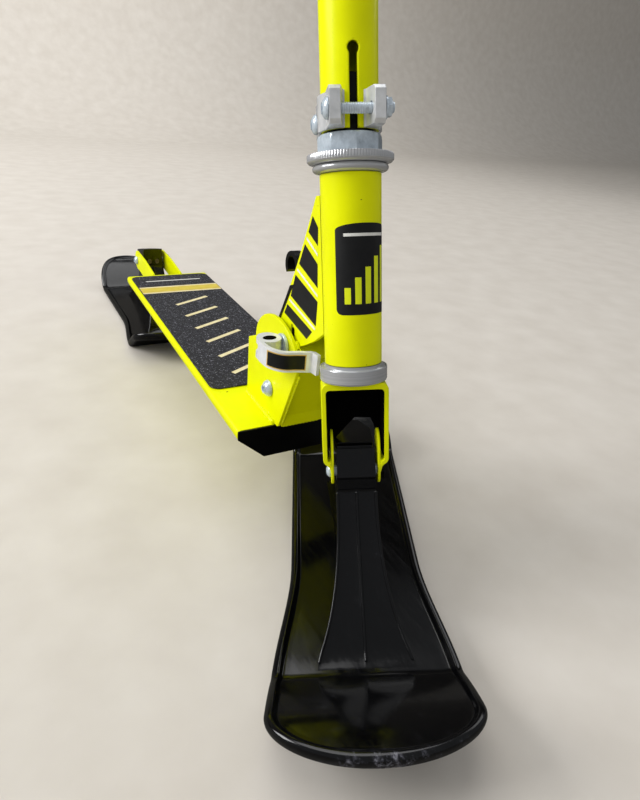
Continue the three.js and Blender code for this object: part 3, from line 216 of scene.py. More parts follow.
def noiseAt(tree, place, sizeInMillimetres, detail=3.0, stretch=None, roughness=0.5):
    # noise of a real size, stretched by (x, y, z) when asked
    if stretch:
        scaled = addNode(tree, "ShaderNodeMapping", values={"Scale": stretch}, links={"Vector": place})
        place = scaled.outputs["Vector"]
    values = {"Scale": perMetre(sizeInMillimetres), "Detail": detail, "Roughness": roughness}
    return addNode(tree, "ShaderNodeTexNoise", values=values, links={"Vector": place}).outputs["Fac"]


def mottled(name, grain, stops, rough=None, bump=None, **values):
    # noise (size, detail, roughness) tints the base; rough is (noise or None for the same, stops) and
    # bump is (size, detail, strength, depth)
    material, tree, shader, place = newMaterial(name, **values)
    clouds = noiseAt(tree, place, *grain[:2], roughness=(*grain, 0.5)[2])
    tint(tree, shader, clouds, stops)
    if rough:
        tint(tree, shader, noiseAt(tree, place, *rough[0]) if rough[0] else clouds, rough[1], "Roughness")
    if bump:
        addBump(tree, shader, noiseAt(tree, place, *bump[:2]), *bump[2:])
    return material


def powderCoat():
    # fluorescent powder coat on steel: smooth and glossy, with a faint orange peel and a few dark chips
    finish = {"Roughness": 0.34, "Specular_IOR_Level": 0.12, "Coat_Weight": 0.06, "Coat_Roughness": 0.1}
    material, tree, shader, place = newMaterial("powderCoatedSteel", **finish)
    clouds = addRamp(tree, noiseAt(tree, place, 38, 4), [(0.35, "#EAF000"), (0.75, "#DEE300")])
    chips = addRamp(tree, noiseAt(tree, place, 4.2, 1.5), [(0.785, "#000000"), (0.8, "#FFFFFF")])
    addMix(tree, shader, chips, clouds, "#4A4C10")
    addBump(tree, shader, noiseAt(tree, place, 1.8, 1), 0.12, 0.05)
    return material


def skiPlastic():
    # moulded polyethylene: deep black gloss, fine scratches along the runner and pale scuffs
    material, tree, shader, place = newMaterial("mouldedPolyethylene", IOR=1.51)
    scratches = noiseAt(tree, place, 3.2, 6, (1, 0.06, 1), 0.75)
    scuffs = noiseAt(tree, place, 9, 7, (1, 0.5, 1), 0.75)
    # the nose of the front ski, 157 to 170 mm ahead of its axle, is scuffed most
    axle = float(frontSkiSpace[1] @ levelBack)
    nose = addRange(tree, distanceAlong(tree, place, levelBack), axle - 0.157, axle - 0.17, 0, 0.15)
    worn = addNode(tree, "ShaderNodeMath", {"operation": "ADD"}, links={0: scuffs, 1: nose})
    stops = [(0.0, "#020203"), (0.58, "#050506"), (0.67, "#0E0E10"), (0.73, "#34343A"), (0.8, "#77777E")]
    tint(tree, shader, worn.outputs["Value"], stops)
    tree.links.new(addRange(tree, scratches, 0.35, 0.75, 0.09, 0.26), shader.inputs["Roughness"])
    addBump(tree, shader, scratches, 0.12, 0.1)
    return material


def gritTape():
    # silicon carbide grit on black film: dull; single grains are painted paler as painted glints, drawn at 0.9
    # mm so that they show
    material, tree, shader, place = newMaterial("siliconCarbideGritTape", Roughness=0.88)
    grains = addNode(tree, "ShaderNodeTexVoronoi", values={"Scale": perMetre(0.9)}, links={"Vector": place})
    single = addNode(tree, "ShaderNodeSeparateColor", links={"Color": grains.outputs["Color"]})
    stops = [(0.0, "#131316"), (0.5, "#1F1F23"), (0.84, "#303035"), (0.95, "#54545B"), (1.0, "#94949C")]
    # the palest grains are painted glints
    tint(tree, shader, single.outputs["Red"], stops)
    addBump(tree, shader, grains.outputs["Distance"], 0.9, 0.35)
    return material


def turnedAluminium():
    # aluminium off the lathe: fine rings along the steering axis
    material, tree, shader, place = newMaterial("turnedAluminium", Metallic=0.5)
    spread = addNode(tree, "ShaderNodeCombineXYZ", links={"Z": distanceAlong(tree, place, steerAxis)})
    lines = noiseAt(tree, spread.outputs["Vector"], 1.6, 4)
    tint(tree, shader, lines, [(0.3, "#B4B6B9"), (0.75, "#DCDDDF")])
    tint(tree, shader, lines, [(0.3, "#6E6E6E"), (0.8, "#8C8C8C")], "Roughness")
    addBump(tree, shader, lines, 0.1, 0.08)
    return material


def gripRubber():
    # moulded rubber of the grips: dull black with a fine pebble
    material, tree, shader, place = newMaterial("mouldedGripRubber", Roughness=0.8)
    tint(tree, shader, noiseAt(tree, place, 12, 4), [(0.3, "#0F0F10"), (0.8, "#1D1D1E")])
    pebble = addNode(tree, "ShaderNodeTexVoronoi", values={"Scale": perMetre(1.6)}, links={"Vector": place})
    addBump(tree, shader, pebble.outputs["Distance"], 0.5, 0.2)
    return material


def castAluminium(name, metallic, shade, light):
    # die-cast aluminium, tumbled or polished: pale, softly mottled, satin
    satin = ((3, 4), [(0.3, "#737373"), (0.8, "#949494")])
    stops = [(0.3, shade), (0.75, light)]
    return mottled(name, (6, 5), stops, satin, (0.7, 3, 0.18, 0.06), Metallic=metallic)


def printedFilm(name, colour, worn, grit=None):
    # ink printed on film: satin, rubbed a little unevenly; over the grit it takes the grain
    return mottled(name, (9, 6, 0.7), [(0.35, colour), (0.8, worn)], bump=grit, Roughness=0.5)


paint = powderCoat()
plastic = skiPlastic()
# moulded nylon of the plug, cover and caps: satin with a fine grain
moulding = mottled(
    "mouldedBlackNylon", (14, 4), [(0.3, "#040404"), (0.8, "#0B0B0C")], bump=(0.8, 2, 0.25, 0.05),
    Roughness=0.38, Specular_IOR_Level=0.3,
)
tape = gritTape()
cast = castAluminium("tumbledCastAluminium", 0.26, "#C9CBCD", "#E2E4E6")
bright = castAluminium("polishedCastAluminium", 0.16, "#DFE1E3", "#F2F3F5")
lathed = turnedAluminium()
# bright zinc plating with a bluish passivation, a little grimy
zinc = mottled(
    "blueZincPlate", (4, 6, 0.65), [(0.3, "#DCE8F2"), (0.62, "#BECAD5"), (0.85, "#86847C")],
    (None, [(0.3, "#606060"), (0.85, "#909090")]), (1.2, 3, 0.08, 0.05), Metallic=0.28,
)
# painted shade: a matt black that stands for the shade inside the fork, in the neck's slot and in the latch's
# recess, where hardly any light comes back
paintedShade = mottled(
    "paintedShadeMattBlack", (6, 3), [(0.3, "#020202"), (0.8, "#050505")], Roughness=0.95, Specular_IOR_Level=0.05
)
# black passivated steel: dark satin
darkSteel = mottled(
    "blackPassivatedSteel", (5, 4), [(0.3, "#0C0C0D"), (0.8, "#1C1C1E")], Metallic=0.7, Roughness=0.45
)
# natural nylon of bushes and washers: milky and matt
nylon = mottled("naturalNylon", (8, 3), [(0.3, "#DAD8CE"), (0.8, "#ECEAE2")], Roughness=0.55)
rubber = gripRubber()
gritBump = (1.1, 2, 0.5, 0.25)
blackFilm = printedFilm("blackVinylFilm", "#0B0B0C", "#161617")
whiteFilm = printedFilm("whiteVinylFilm", "#E9E9E4", "#D6D6CF")
yellowFilm = printedFilm("yellowVinylFilm", "#E6F200", "#D9E400")
goldFilm = printedFilm("goldVinylFilm", "#D9B45C", "#C9A452")
rustFilm = printedFilm("rustyDust", "#4A3D2E", "#8A7A66", gritBump)
creamInk = printedFilm("creamInkOnGrit", "#EFE3B8", "#D9C68A", gritBump)
ochreInk = printedFilm("ochreInkOnGrit", "#DEC84E", "#C4AC3C", gritBump)
print("materials made")


# Meshes
def finishMesh(name, data, material, body, sharpAngle=38):
    # merges doubles, closes poles, turns faces outwards and rides on the body
    working = bmesh.new()
    working.from_mesh(data)
    bmesh.ops.remove_doubles(working, verts=working.verts, dist=1e-6)
    bmesh.ops.recalc_face_normals(working, faces=working.faces)
    working.to_mesh(data)
    working.free()
    data.polygons.foreach_set("use_smooth", np.ones(len(data.polygons), bool))
    data.set_sharp_from_angle(angle=math.radians(sharpAngle))
    data.materials.clear()
    data.materials.append(material)
    piece = bpy.data.objects.new(name, data)
    bpy.context.scene.collection.objects.link(piece)
    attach(piece, body)
    return piece


def gridFaces(rows, columns, wrap):
    # quads between neighbouring rows and columns; wrap joins the last column to the first
    i, j = np.meshgrid(np.arange(rows - 1), np.arange(columns - (0 if wrap else 1)), indexing="ij")
    following = (j + 1) % columns
    corners = [i * columns + j, i * columns + following, (i + 1) * columns + following, (i + 1) * columns + j]
    return np.stack(corners, -1).reshape(-1, 4).tolist()


def gridPiece(name, grid, space, material, body, wrap=False, caps=False, sharpAngle=38):
    # grid of rows x columns of points; caps close the end rows
    rows, columns = grid.shape[:2]
    faces = gridFaces(rows, columns, wrap)
    if caps:
        faces.append(list(range(columns)))
        faces.append(list(range((rows - 1) * columns, rows * columns)))
    data = bpy.data.meshes.new(name)
    data.from_pydata(inSpace(grid, space), [], faces)
    return finishMesh(name, data, material, body, sharpAngle)


def fullTurn(steps):
    # angles of an even, open turn
    return np.linspace(0, 2 * np.pi, steps, endpoint=False)


def ringGrid(rows, angles, order=(0, 1, 2)):
    # rows of (reach, level) round z, or round x by the order (2, 0, 1); a reach may differ by angle
    rings = [(reach * np.cos(angles), reach * np.sin(angles), level + 0 * angles) for reach, level in rows]
    return np.array(rings)[:, order].transpose(0, 2, 1)


roundX = (2, 0, 1)


def turnedPiece(name, profile, space, material, body, segments=96, sharpAngle=38):
    # profile of (radius, height) swept round the space's z
    grid = ringGrid(profile, fullTurn(segments))
    return gridPiece(name, grid, space, material, body, wrap=True, sharpAngle=sharpAngle)


def addRounding(piece, bevel):
    # rounds the edges that turn by more than 30 degrees
    rounding = piece.modifiers.new("rounding", "BEVEL")
    rounding.width = bevel * millimetre
    rounding.segments = 3
    rounding.limit_method = "ANGLE"
    rounding.angle_limit = math.radians(30)
    rounding.harden_normals = True


def addWall(piece, thickness):
    # gives a surface its wall, grown inwards
    wall = piece.modifiers.new("wall", "SOLIDIFY")
    wall.thickness = thickness * millimetre
    wall.offset = -1


def softened(node, material, body, bevel):
    # a merged copy of a CAD node with its flat faces joined and its edges rounded
    data = nodes[node].data.copy()
    working = bmesh.new()
    working.from_mesh(data)
    bmesh.ops.remove_doubles(working, verts=working.verts, dist=1e-6)
    flat = math.radians(0.5)
    bmesh.ops.dissolve_limit(working, angle_limit=flat, verts=working.verts, edges=working.edges)
    working.to_mesh(data)
    working.free()
    for name in ("sharp_face", "sharp_edge", "custom_normal"):
        if name in data.attributes:
            data.attributes.remove(data.attributes[name])
    piece = finishMesh(f"{node}_finished", data, material, body)
    addRounding(piece, bevel)
    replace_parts(piece, node)


def plate(name, outline, start, thickness, plane, space, material, body, bevel=0.6):
    # closed outline extruded along the axis missing from the plane's name, with rounded edges
    outline = np.asarray(outline, float)
    order = {"yz": (2, 0, 1), "xz": (0, 2, 1), "xy": (0, 1, 2)}[plane]
    depths = (start, start + thickness)
    layers = [np.column_stack([outline, np.full(len(outline), depth)])[:, order] for depth in depths]
    piece = gridPiece(name, np.array(layers), space, material, body, wrap=True, caps=True)
    addRounding(piece, bevel)
    return piece


def arcPoints(centre, radii, start, end, count):
    # points of an elliptical arc between two angles in degrees
    angle = np.radians(np.linspace(start, end, count))
    return np.column_stack([centre[0] + radii[0] * np.cos(angle), centre[1] + radii[1] * np.sin(angle)])


def lengthAlong(points):
    # distance from the first point along the line
    return np.concatenate([[0], np.cumsum(np.linalg.norm(np.diff(points, axis=0), axis=1))])


def unitRows(vectors):
    # each row over its own length
    return vectors / np.linalg.norm(vectors, axis=1)[:, None]


def leftOf(line):
    # unit normals on the left of a flat line
    direction = np.gradient(line, axis=0)
    return unitRows(np.column_stack([-direction[:, 1], direction[:, 0]]))


def smoothPath(points, count):
    # Catmull-Rom curve through the points, evenly spaced along its length
    points = np.asarray(points, float)
    padded = np.vstack([2 * points[0] - points[1], points, 2 * points[-1] - points[-2]])
    t = np.linspace(0, len(points) - 1, 40 * len(points))
    k = np.minimum(t.astype(int), len(points) - 2)
    f = (t - k)[:, None]
    a, b, c, d = (padded[k + i] for i in range(4))
    curve = 0.5 * (2 * b + (c - a) * f + (2 * a - 5 * b + 4 * c - d) * f**2 + (3 * b - a - 3 * c + d) * f**3)
    length = lengthAlong(curve)
    even = np.linspace(0, length[-1], count)
    return np.column_stack([np.interp(even, length, curve[:, axis]) for axis in range(curve.shape[1])])


def weldBead(name, path, radius, space, body, material=paint, swell=0.3):
    # half-sunk bead along a path: its radius swells with each ripple of the weld
    weld = {"ripple": 3.1, "step": 0.5, "around": 14, "lean": (0.31, 0.42, 0.85)}
    path = smoothPath(path, 2 + int(np.linalg.norm(np.diff(path, axis=0), axis=1).sum() / weld["step"]))
    tangent = unitRows(np.gradient(path, axis=0))
    side = unitRows(np.cross(tangent, weld["lean"]))
    over = np.cross(side, tangent)
    along = lengthAlong(path)
    ripples = 1 + swell * np.abs(np.sin(np.pi * along / weld["ripple"]))
    ends = np.sqrt(np.clip(np.minimum(along, along[-1] - along) / radius, 0, 1))
    angle = fullTurn(weld["around"])
    reach = radius * (ripples * ends)[:, None, None]
    ring = side[:, None] * np.cos(angle)[None, :, None] + over[:, None] * np.sin(angle)[None, :, None]
    return gridPiece(name, path[:, None] + reach * ring, space, material, body, wrap=True, sharpAngle=60)


# Deck
deck = {
    "width": 108, "length": 410, "height": 29, "lip": 8, "floorWidth": 61, "wall": 2, "corner": 3.2,
    "bodyFront": 1.9, "bodyGap": 3.3, "rearPlate": 3,
}


def deckOutline(offset):
    # folded section, rounded at the upper corners and at the two folds; offset moves it inwards
    half, low = deck["width"] / 2 - offset, -deck["height"] + offset
    floorHalf = deck["floorWidth"] / 2 - offset * 0.7
    corner, lip = deck["corner"] - offset, -deck["lip"]
    right = np.vstack([
        arcPoints((half - corner, -offset - corner), (corner, corner), 90, 0, 8),
        smoothPath([(half, lip + 2.5), (half - 1, lip - 1), (half - 3.2, lip - 3.2)], 7),
        smoothPath([(floorHalf + 3, low + 3), (floorHalf + 1.2, low + 1), (floorHalf - 2, low)], 7),
    ])
    return np.vstack([right, (right * (-1, 1))[::-1]])


def makeDeck():
    # the outline swept along the deck, back through its inside and closed at the front
    start, end = deck["bodyFront"], deck["length"] - deck["bodyGap"]
    outer, inner = deckOutline(0), deckOutline(deck["wall"])
    rings = [(outer, start + 0.3), (outer, end), (inner, end), (inner, start), (outer * 0.998, start)]
    rings.append(rings[0])
    grid = np.array([np.column_stack([ring[:, 0], np.full(len(ring), y), ring[:, 1]]) for ring, y in rings])
    body = gridPiece("deck_pressing", grid, deckSpace, paint, "frame", wrap=True)
    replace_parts(body, "deck_box")
    thickness = deck["rearPlate"]
    place = (deck["length"] - thickness, thickness)
    rear = plate("deck_rear_closing", outer, *place, "xz", deckSpace, paint, "frame", 0.8)
    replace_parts(rear, "deck_rear_plate")
    softened("deck_front_plug", moulding, "frame", 0.5)


makeDeck()

# Grip tape with a plain printed pattern
tapeSheet = {"halfWidth": 51, "front": 72, "back": 403, "corner": 9, "top": 1.3, "ink": 0.08, "bare": 0.6}


def inkBand(name, ends, width, material, lift):
    # flat band of even width between two points on the tape
    line = smoothPath(ends, 60)
    side = leftOf(line)
    left, right = line + side * width / 2, line - side * width / 2
    share = np.linspace(0, 1, 5)[None, :, None]
    flat = left[:, None] * (1 - share) + right[:, None] * share
    limit = tapeSheet["halfWidth"] - tapeSheet["bare"]
    flat[..., 0] = np.clip(flat[..., 0], -limit, limit)
    height = np.full(flat.shape[:2] + (1,), tapeSheet["top"] + lift * tapeSheet["ink"])
    gridPiece(name, np.concatenate([flat, height], -1), deckSpace, material, "frame")


def makeTape():
    # a sheet with four round corners; slanted dashes along it, one band and one line across its rear
    half, front, back, corner = (tapeSheet[key] for key in ("halfWidth", "front", "back", "corner"))
    x, y = half - corner, (back - corner, front + corner)
    centres = ((x, y[0]), (-x, y[0]), (-x, y[1]), (x, y[1]))
    outline = np.vstack([
        arcPoints(centre, (corner, corner), 90 * k, 90 * k + 90, 10) for k, centre in enumerate(centres)
    ])
    sheet = plate("grit_sheet", outline, 0.3, 1, "xy", deckSpace, tape, "frame", 0.3)
    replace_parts(sheet, "grip_tape")
    for index in range(6):
        middle = 108 + 38 * index
        inkBand(f"tape_dash_{index}", [(-22, middle - 11), (22, middle + 11)], 5, creamInk, 1)
    inkBand("tape_band_edge", [(-50.2, 345), (50.2, 345)], 25, creamInk, 1)
    inkBand("tape_band", [(-50.2, 345), (50.2, 345)], 17, ochreInk, 2)
    inkBand("tape_rear_line", [(-36, 380), (36, 380)], 2.6, whiteFilm, 1)


makeTape()
print("deck and tape made")

def platePair(name, weldName, node, outline, sizes, path, radius):
    # the same plate on both sides of the middle, each welded to the deck along a path on its outer face
    halfGap, thickness = sizes["halfGap"], sizes["thickness"]
    for word, side in sides:
        inner = side * halfGap - (thickness if side < 0 else 0)
        piece = plate(f"{name}_{word}", outline, inner, thickness, "yz", deckSpace, paint, "frame", 0.7)
        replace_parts(piece, f"{node}_{word}")
        out = side * (halfGap + thickness)
        weldBead(f"{weldName}_{word}", [(out, y, z) for y, z in path], radius, deckSpace, "frame")


# Rear arms
rearArm = {"reach": 95, "drop": 6, "halfGap": 17, "thickness": 3, "tip": 13.5, "neck": 15}
rearAxlePlace = (deck["length"] + rearArm["reach"], -rearArm["drop"])


def makeRearArms():
    # straight edges from the deck to a round tip about the axle
    start, bend = deck["length"] + 0.3, rearAxlePlace[0] - 0.45 * rearArm["reach"]
    outline = np.vstack([
        [(start, -deck["height"] + 2), (bend, rearAxlePlace[1] - rearArm["neck"])],
        arcPoints(rearAxlePlace, (rearArm["tip"], rearArm["tip"]), -110, 95, 40),
        [(bend, rearAxlePlace[1] + rearArm["tip"] - 1), (start, 1)],
    ])
    path = [(start, -0.5), (start, -deck["height"] + 3)]
    platePair("rear_arm_plate", "rear_arm_weld", "rear_arm", outline, rearArm, path, 1.6)


makeRearArms()


# Bolts: domed heads with a hex socket, and hexagon nuts
def domedBolt(name, node, centre, headRadius, headHeight, shankRadius, length, space, body):
    # profile from the socket's floor out over the dome and down the shank; x is the bolt's axis
    dome = arcPoints((0, 0), (headRadius, headHeight), 8, 62, 16)
    socket = headRadius * 0.42
    angles = fullTurn(72)
    hexShare = 1 / np.cos((angles % (np.pi / 3)) - np.pi / 6)
    floor, rim = headHeight * 0.45, headHeight * 0.93
    socketRows = [(0 * angles, -floor), (socket * 0.86 * hexShare, -floor), (socket * 0.86 * hexShare, -rim)]
    rows = [(socket * 1.22, headHeight * 0.955), *dome[::-1], (headRadius, headHeight * 0.1)]
    rows += [(headRadius * 0.96, 0), (shankRadius, 0), (shankRadius, -length), (0, -length)]
    rows = socketRows + [(radius + 0 * angles, -height) for radius, height in rows]
    grid = ringGrid(rows, angles, roundX)
    piece = gridPiece(name, grid + np.array(centre), space, zinc, body, wrap=True, sharpAngle=34)
    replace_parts(piece, node)


def flatsAt(angles, width, count):
    # distance to the flats of a regular prism
    step = 2 * np.pi / count
    return width / 2 / np.cos((angles % step) - step / 2)


def hexNut(name, node, centre, width, height, bore, space, body, material=zinc):
    # prism along x whose corners are turned away at both faces
    angles = fullTurn(144)
    flat = flatsAt(angles, width, 6)
    half, corner = width / 2, width / 2 / math.cos(np.pi / 6)
    bevel = (corner - half) * 0.9
    face = [(bore, 0), (half * 0.97, 0), (half + 0.1, 0.15)]
    face += [(corner - bevel * 0.35, bevel * 0.35), (corner, bevel * 0.6)]
    rows = face + [(radius, height - place) for radius, place in face[::-1]] + [(bore, 0)]
    grid = ringGrid([(np.minimum(flat, radius), place) for radius, place in rows], angles, roundX)
    piece = gridPiece(name, grid + np.array(centre), space, material, body, wrap=True, sharpAngle=24)
    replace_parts(piece, node)


axle = {"radius": 4, "head": (6, 4.5), "smallHead": (4.8, 3.2), "pivotHead": (6.9, 5.6), "frontLevel": -76.5}
axleNut = (12.6, 6.5, 4.3)


def makeAxles():
    # each bolt's head lies outside its left plate and its nut outside the right one
    radius, level = axle["radius"], axle["frontLevel"]
    out = rearArm["halfGap"] + rearArm["thickness"] + 0.3
    sizes = (*axle["head"], radius, 2 * out + 8)
    domedBolt("rear_axle_pin", "rear_axle_bolt", (-out, *rearAxlePlace), *sizes, deckSpace, "frame")
    hexNut("rear_axle_hexagon", "rear_axle_nut", (out, *rearAxlePlace), *axleNut, deckSpace, "frame")
    out = 17.3
    sizes = (*axle["smallHead"], radius, 2 * out + 3)
    domedBolt("front_axle_pin", "front_axle_bolt", (-out, 0, level), *sizes, steerSpace, "steering")
    sizes = (12, 3.4, 4.3)
    hexNut("front_axle_hexagon", "front_axle_nut", (out, 0, level), *sizes, steerSpace, "steering", darkSteel)
    pivot, out = stance["pivotInDeck"][1:], 22.3
    sizes = (*axle["pivotHead"], radius, 2 * out + 8)
    domedBolt("hinge_pin", "hinge_pivot_bolt", (-out, *pivot), *sizes, deckSpace, "frame")
    hexNut("hinge_hexagon", "hinge_pivot_nut", (out, *pivot), *axleNut, deckSpace, "frame")


makeAxles()
print("arms and axles made")

# Hinge
cheek = {
    "rear": 62, "shoulder": 54, "step": 15, "top": 90, "centre": 62, "lean": 30, "foot": 5,
    "halfGap": 19, "thickness": 3, "webHalf": 18.6,
}


def makeHinge():
    # each cheek is a straight rear edge, a shoulder and half an ellipse down to the foot
    back = cheek["rear"] - cheek["step"]
    middle, half = (back - cheek["lean"]) / 2, (back + cheek["lean"]) / 2
    outline = np.vstack([
        [(cheek["rear"], 0.3)],
        arcPoints((cheek["rear"] - 2, cheek["shoulder"] - 2), (2, 2), 0, 80, 6),
        arcPoints((middle, cheek["centre"]), (half, cheek["top"] - cheek["centre"]), -3, 180, 70),
        [(-cheek["foot"], 2), (-cheek["foot"] / 2, 0.3)],
    ])
    path = [(cheek["rear"] - 1, 0.6), (30, 0.6), (2, 0.6)]
    platePair("cheek_plate", "cheek_weld", "hinge_cheek", outline, cheek, path, 2.3)
    softened("hinge_front_web", paint, "frame", 0.7)
    webHalf = cheek["webHalf"]
    gusset = [(-4.8, 0.6), (-5.9, 11.5), (-5.2, 12), (-3.6, 0.6)]
    plate("web_gusset", gusset, -webHalf, 2 * webHalf, "yz", deckSpace, paint, "frame", 0.25)
    for word, side in sides:
        edge = [(side * webHalf, -4.5 - 25 * t, 2 + 58 * t) for t in np.linspace(0.02, 0.97, 6)]
        weldBead(f"web_weld_{word}", edge, 0.9, deckSpace, "frame")
    weldBead("web_foot_weld", [(-18, -2.6, 1.2), (0, -2.6, 1.2), (18, -2.6, 1.2)], 1.7, deckSpace, "frame")


makeHinge()

# Latch: the CAD's pieces with soft edges, a thin dark disc of painted shade standing for the recess in the
# barrel, and a blank label on the lever
latch = {
    "cam": 9.2, "height": 15.4, "thickness": 2.8, "camX": -34.4, "back": -6, "up": 74, "lean": 30, "tab": 14,
    "labelRows": 7,
}


def makeLatch():
    # the label follows the lever's middle line at half the lever's thickness
    softened("latch_lever", bright, "latch_lever_body", 0.5)
    for node, bevel in (("washer", 0.5), ("skewer", 0.3), ("nut", 0.4), ("cam_pin", 0.3)):
        softened(f"latch_{node}", zinc, "frame", bevel)
    cam, thick, back, camX = (latch[key] for key in ("cam", "thickness", "back", "camX"))
    recess, top = arcPoints((camX, back - 1), (5.2, 3.6), 0, 352, 44), latch["up"] + latch["height"] / 2
    # painted shade: a thin matt black disc on the barrel's top for its recess
    plate("latch_recess_painted_shade", recess, top - 0.05, 0.25, "xy", deckSpace, paintedShade, "latch_lever_body", 0.05)
    outer = camX - cam + thick / 2
    front = -latch["lean"] - thick / 2
    path = [
        (outer, back), (outer - 0.3, back - cam), (outer + thick / 2, back - 2 * cam),
        (camX, front - thick / 3), (camX + cam, front - 1.4 * thick), (-19, front - 2.2 * thick),
        (-15.2, front - 2.7 * thick), (-13.8, front - latch["tab"]),
    ]
    line = smoothPath(path, 140)
    outward = leftOf(line)
    if outward[30, 0] > 0:
        outward = -outward
    rows = latch["labelRows"]
    for name, material, start, end, reach, lift in (
        ("latch_label_edge", goldFilm, 40, 112, 6.1, 0.1),
        ("latch_label", blackFilm, 42, 110, 5.3, 0.2),
    ):
        ground = line[start:end] + outward[start:end] * (thick / 2 + lift)
        heights = latch["up"] + np.linspace(-reach, reach, rows)
        levels = np.repeat(heights[None, :, None], end - start, 0)
        grid = np.concatenate([np.repeat(ground[:, None], rows, 1), levels], -1)
        gridPiece(name, grid, deckSpace, material, "latch_lever_body")


makeLatch()
print("hinge and latch made")

# Neck and head tube
headTube = {"radius": 19, "wall": 2.2, "low": 1.8, "length": 117.4}
headPanel = {"low": 35.2, "high": 90.2, "half": 21, "top": 4, "corner": 4, "lift": 0.08}
headTop = headTube["low"] + headTube["length"]


def curvedFilm(name, lift, rows, material):
    # film on the head tube: each row is (height, half width in mm, shift in mm) measured round it
    rows = np.asarray(rows, float)
    radius = headTube["radius"] + lift
    angle = np.radians(-90) + (rows[:, 2:3] + rows[:, 1:2] * np.linspace(-1, 1, 33)) / radius
    grid = np.stack([radius * np.cos(angle), radius * np.sin(angle), rows[:, :1] + 0 * angle], -1)
    gridPiece(name, grid, headSpace, material, "neck")


def panelRows():
    # rows of a panel with small lower corners and softly rounded upper ones
    low, high, half, top, corner = (headPanel[key] for key in ("low", "high", "half", "top", "corner"))
    heights = np.concatenate([
        np.linspace(low, low + corner, 8),
        np.linspace(low + corner, high - top, 12)[1:],
        high - top + top * np.sin(np.linspace(0, np.pi / 2, 24))[1:],
    ])
    below = np.clip(low + corner - heights, 0, corner)
    lowCut = corner - np.sqrt(np.clip(corner**2 - below**2, 0, None))
    rise = np.clip((heights - (high - top)) / top, 0, 1)
    width = (half - lowCut) * np.sqrt(np.clip(1 - rise**2, 0, None)) ** 0.9
    return np.column_stack([heights, width, 0 * heights])


def makeHead():
    # a tube with eased ends; a white line above upright yellow bars that grow from left to right
    low, outer, inner = headTube["low"], headTube["radius"], headTube["radius"] - headTube["wall"]
    ease = 0.5
    profile = [(inner, low), (outer - ease, low), (outer, low + ease), (outer, headTop - ease)]
    profile += [(outer - ease, headTop), (inner, headTop), (inner, low)]
    tubePiece = turnedPiece("head_tube_drawn", profile, headSpace, paint, "neck", 128)
    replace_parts(tubePiece, "head_tube")
    lift = headPanel["lift"]
    curvedFilm("head_panel", lift, panelRows(), blackFilm)
    rows = np.column_stack([np.linspace(82.5, 84.3, 5), np.full(5, 15.5), np.zeros(5)])
    curvedFilm("head_line", 2 * lift, rows, whiteFilm)
    for index in range(5):
        heights = np.linspace(42, 52 + 6.2 * index, 15)
        rows = np.column_stack([heights, np.full(15, 2), np.full(15, 6.7 * (index - 2))])
        curvedFilm(f"head_bar_{index}", 2 * lift, rows, yellowFilm)


makeHead()
softened("neck_plate_left", paint, "neck", 0.6)
softened("neck_plate_right", paint, "neck", 0.6)
softened("neck_back_cover", moulding, "neck", 0.8)


def neckPlate(name, outline, start, thickness, material, bevel):
    # outline in (y, z) of the deck's space
    plate(name, outline, start, thickness, "yz", deckSpace, material, "neck", bevel)


def makeNeckDetails():
    # closing sheet between the plates at an even radius about the pivot, a dark sheet of painted shade over the
    # slot and a tab on the left plate
    closing = {"radius": 57, "thickness": 1.5, "from": 92, "to": 134, "half": 13.6}
    pivot, radius, half = stance["pivotInDeck"][1:], closing["radius"], closing["half"]
    outer = arcPoints(pivot, (radius + closing["thickness"],) * 2, closing["from"], closing["to"], 24)
    inner = arcPoints(pivot, (radius,) * 2, closing["to"], closing["from"], 24)
    neckPlate("neck_closing", np.vstack([outer, inner]), -half, 2 * half, paint, 0.3)
    face = -17.1
    ends = (((-9.7, 87), 10), ((-10.9, 80), 190))
    slot = np.vstack([arcPoints(centre, (2, 2), start, start + 180, 12) for centre, start in ends])
    # painted shade: a thin matt black sheet on the left plate over the slot
    neckPlate("neck_slot_painted_shade", slot, face - 0.2, 0.3, paintedShade, 0.05)
    tab = [(-5.3, 77), (-19.6, 82), (-23.7, 77.7), (-11.2, 72.3)]
    neckPlate("neck_lock_tab", tab, face - 2.2, 2.2, paint, 0.5)


def makeNeckFilms():
    # plain slanted bars across the left plate, parallelograms from its rear edge to its front edge, which
    # lies lower by the drop, and a white line in each gap
    def edgeAt(edge, z):
        # point of an edge at a height
        y, heights = np.transpose(edge)
        return np.interp(z, heights, y), z

    face, film, crisp = -16.85, 0.14, 0.02
    rear = [(8.2, 92), (-1.6, 110), (-7.2, 128), (-10.9, 136), (-17.7, 152), (-20.8, 160), (-25.3, 172)]
    front = [(-31, 88.5), (-38, 97), (-42, 100), (-41.8, 118), (-39.9, 128), (-36.9, 144), (-33.2, 167)]
    bars = ((166, 11, 5.5), (144, 15, 8), (119, 17, 8), (98.5, 8, 6))
    lines = ((156, 1.5, 6.8), (132, 1.5, 8.8), (107, 1.5, 7.2))
    for word, material, group in (("bar", blackFilm, bars), ("line", whiteFilm, lines)):
        for index, (middle, width, drop) in enumerate(group):
            heights = (middle - width / 2, middle + width / 2)
            outline = [edgeAt(rear, z) for z in heights] + [edgeAt(front, z - drop) for z in heights[::-1]]
            neckPlate(f"neck_{word}_{index}", outline, face - film, film, material, crisp)
    strip = [(-6.4, 120.4), (0.6, 117.4), (9.1, 100.8), (17.2, 85.5), (14.2, 85), (6.3, 99.4), (-2.2, 114.8)]
    neckPlate("neck_rear_strip", strip, face - 0.2, 0.2, moulding, crisp)


makeNeckDetails()
makeNeckFilms()
print("neck and head tube made")

# Headset rings
headset = {"bore": 14.6, "flange": 5.2, "gap": 0.3, "race": 5.4}


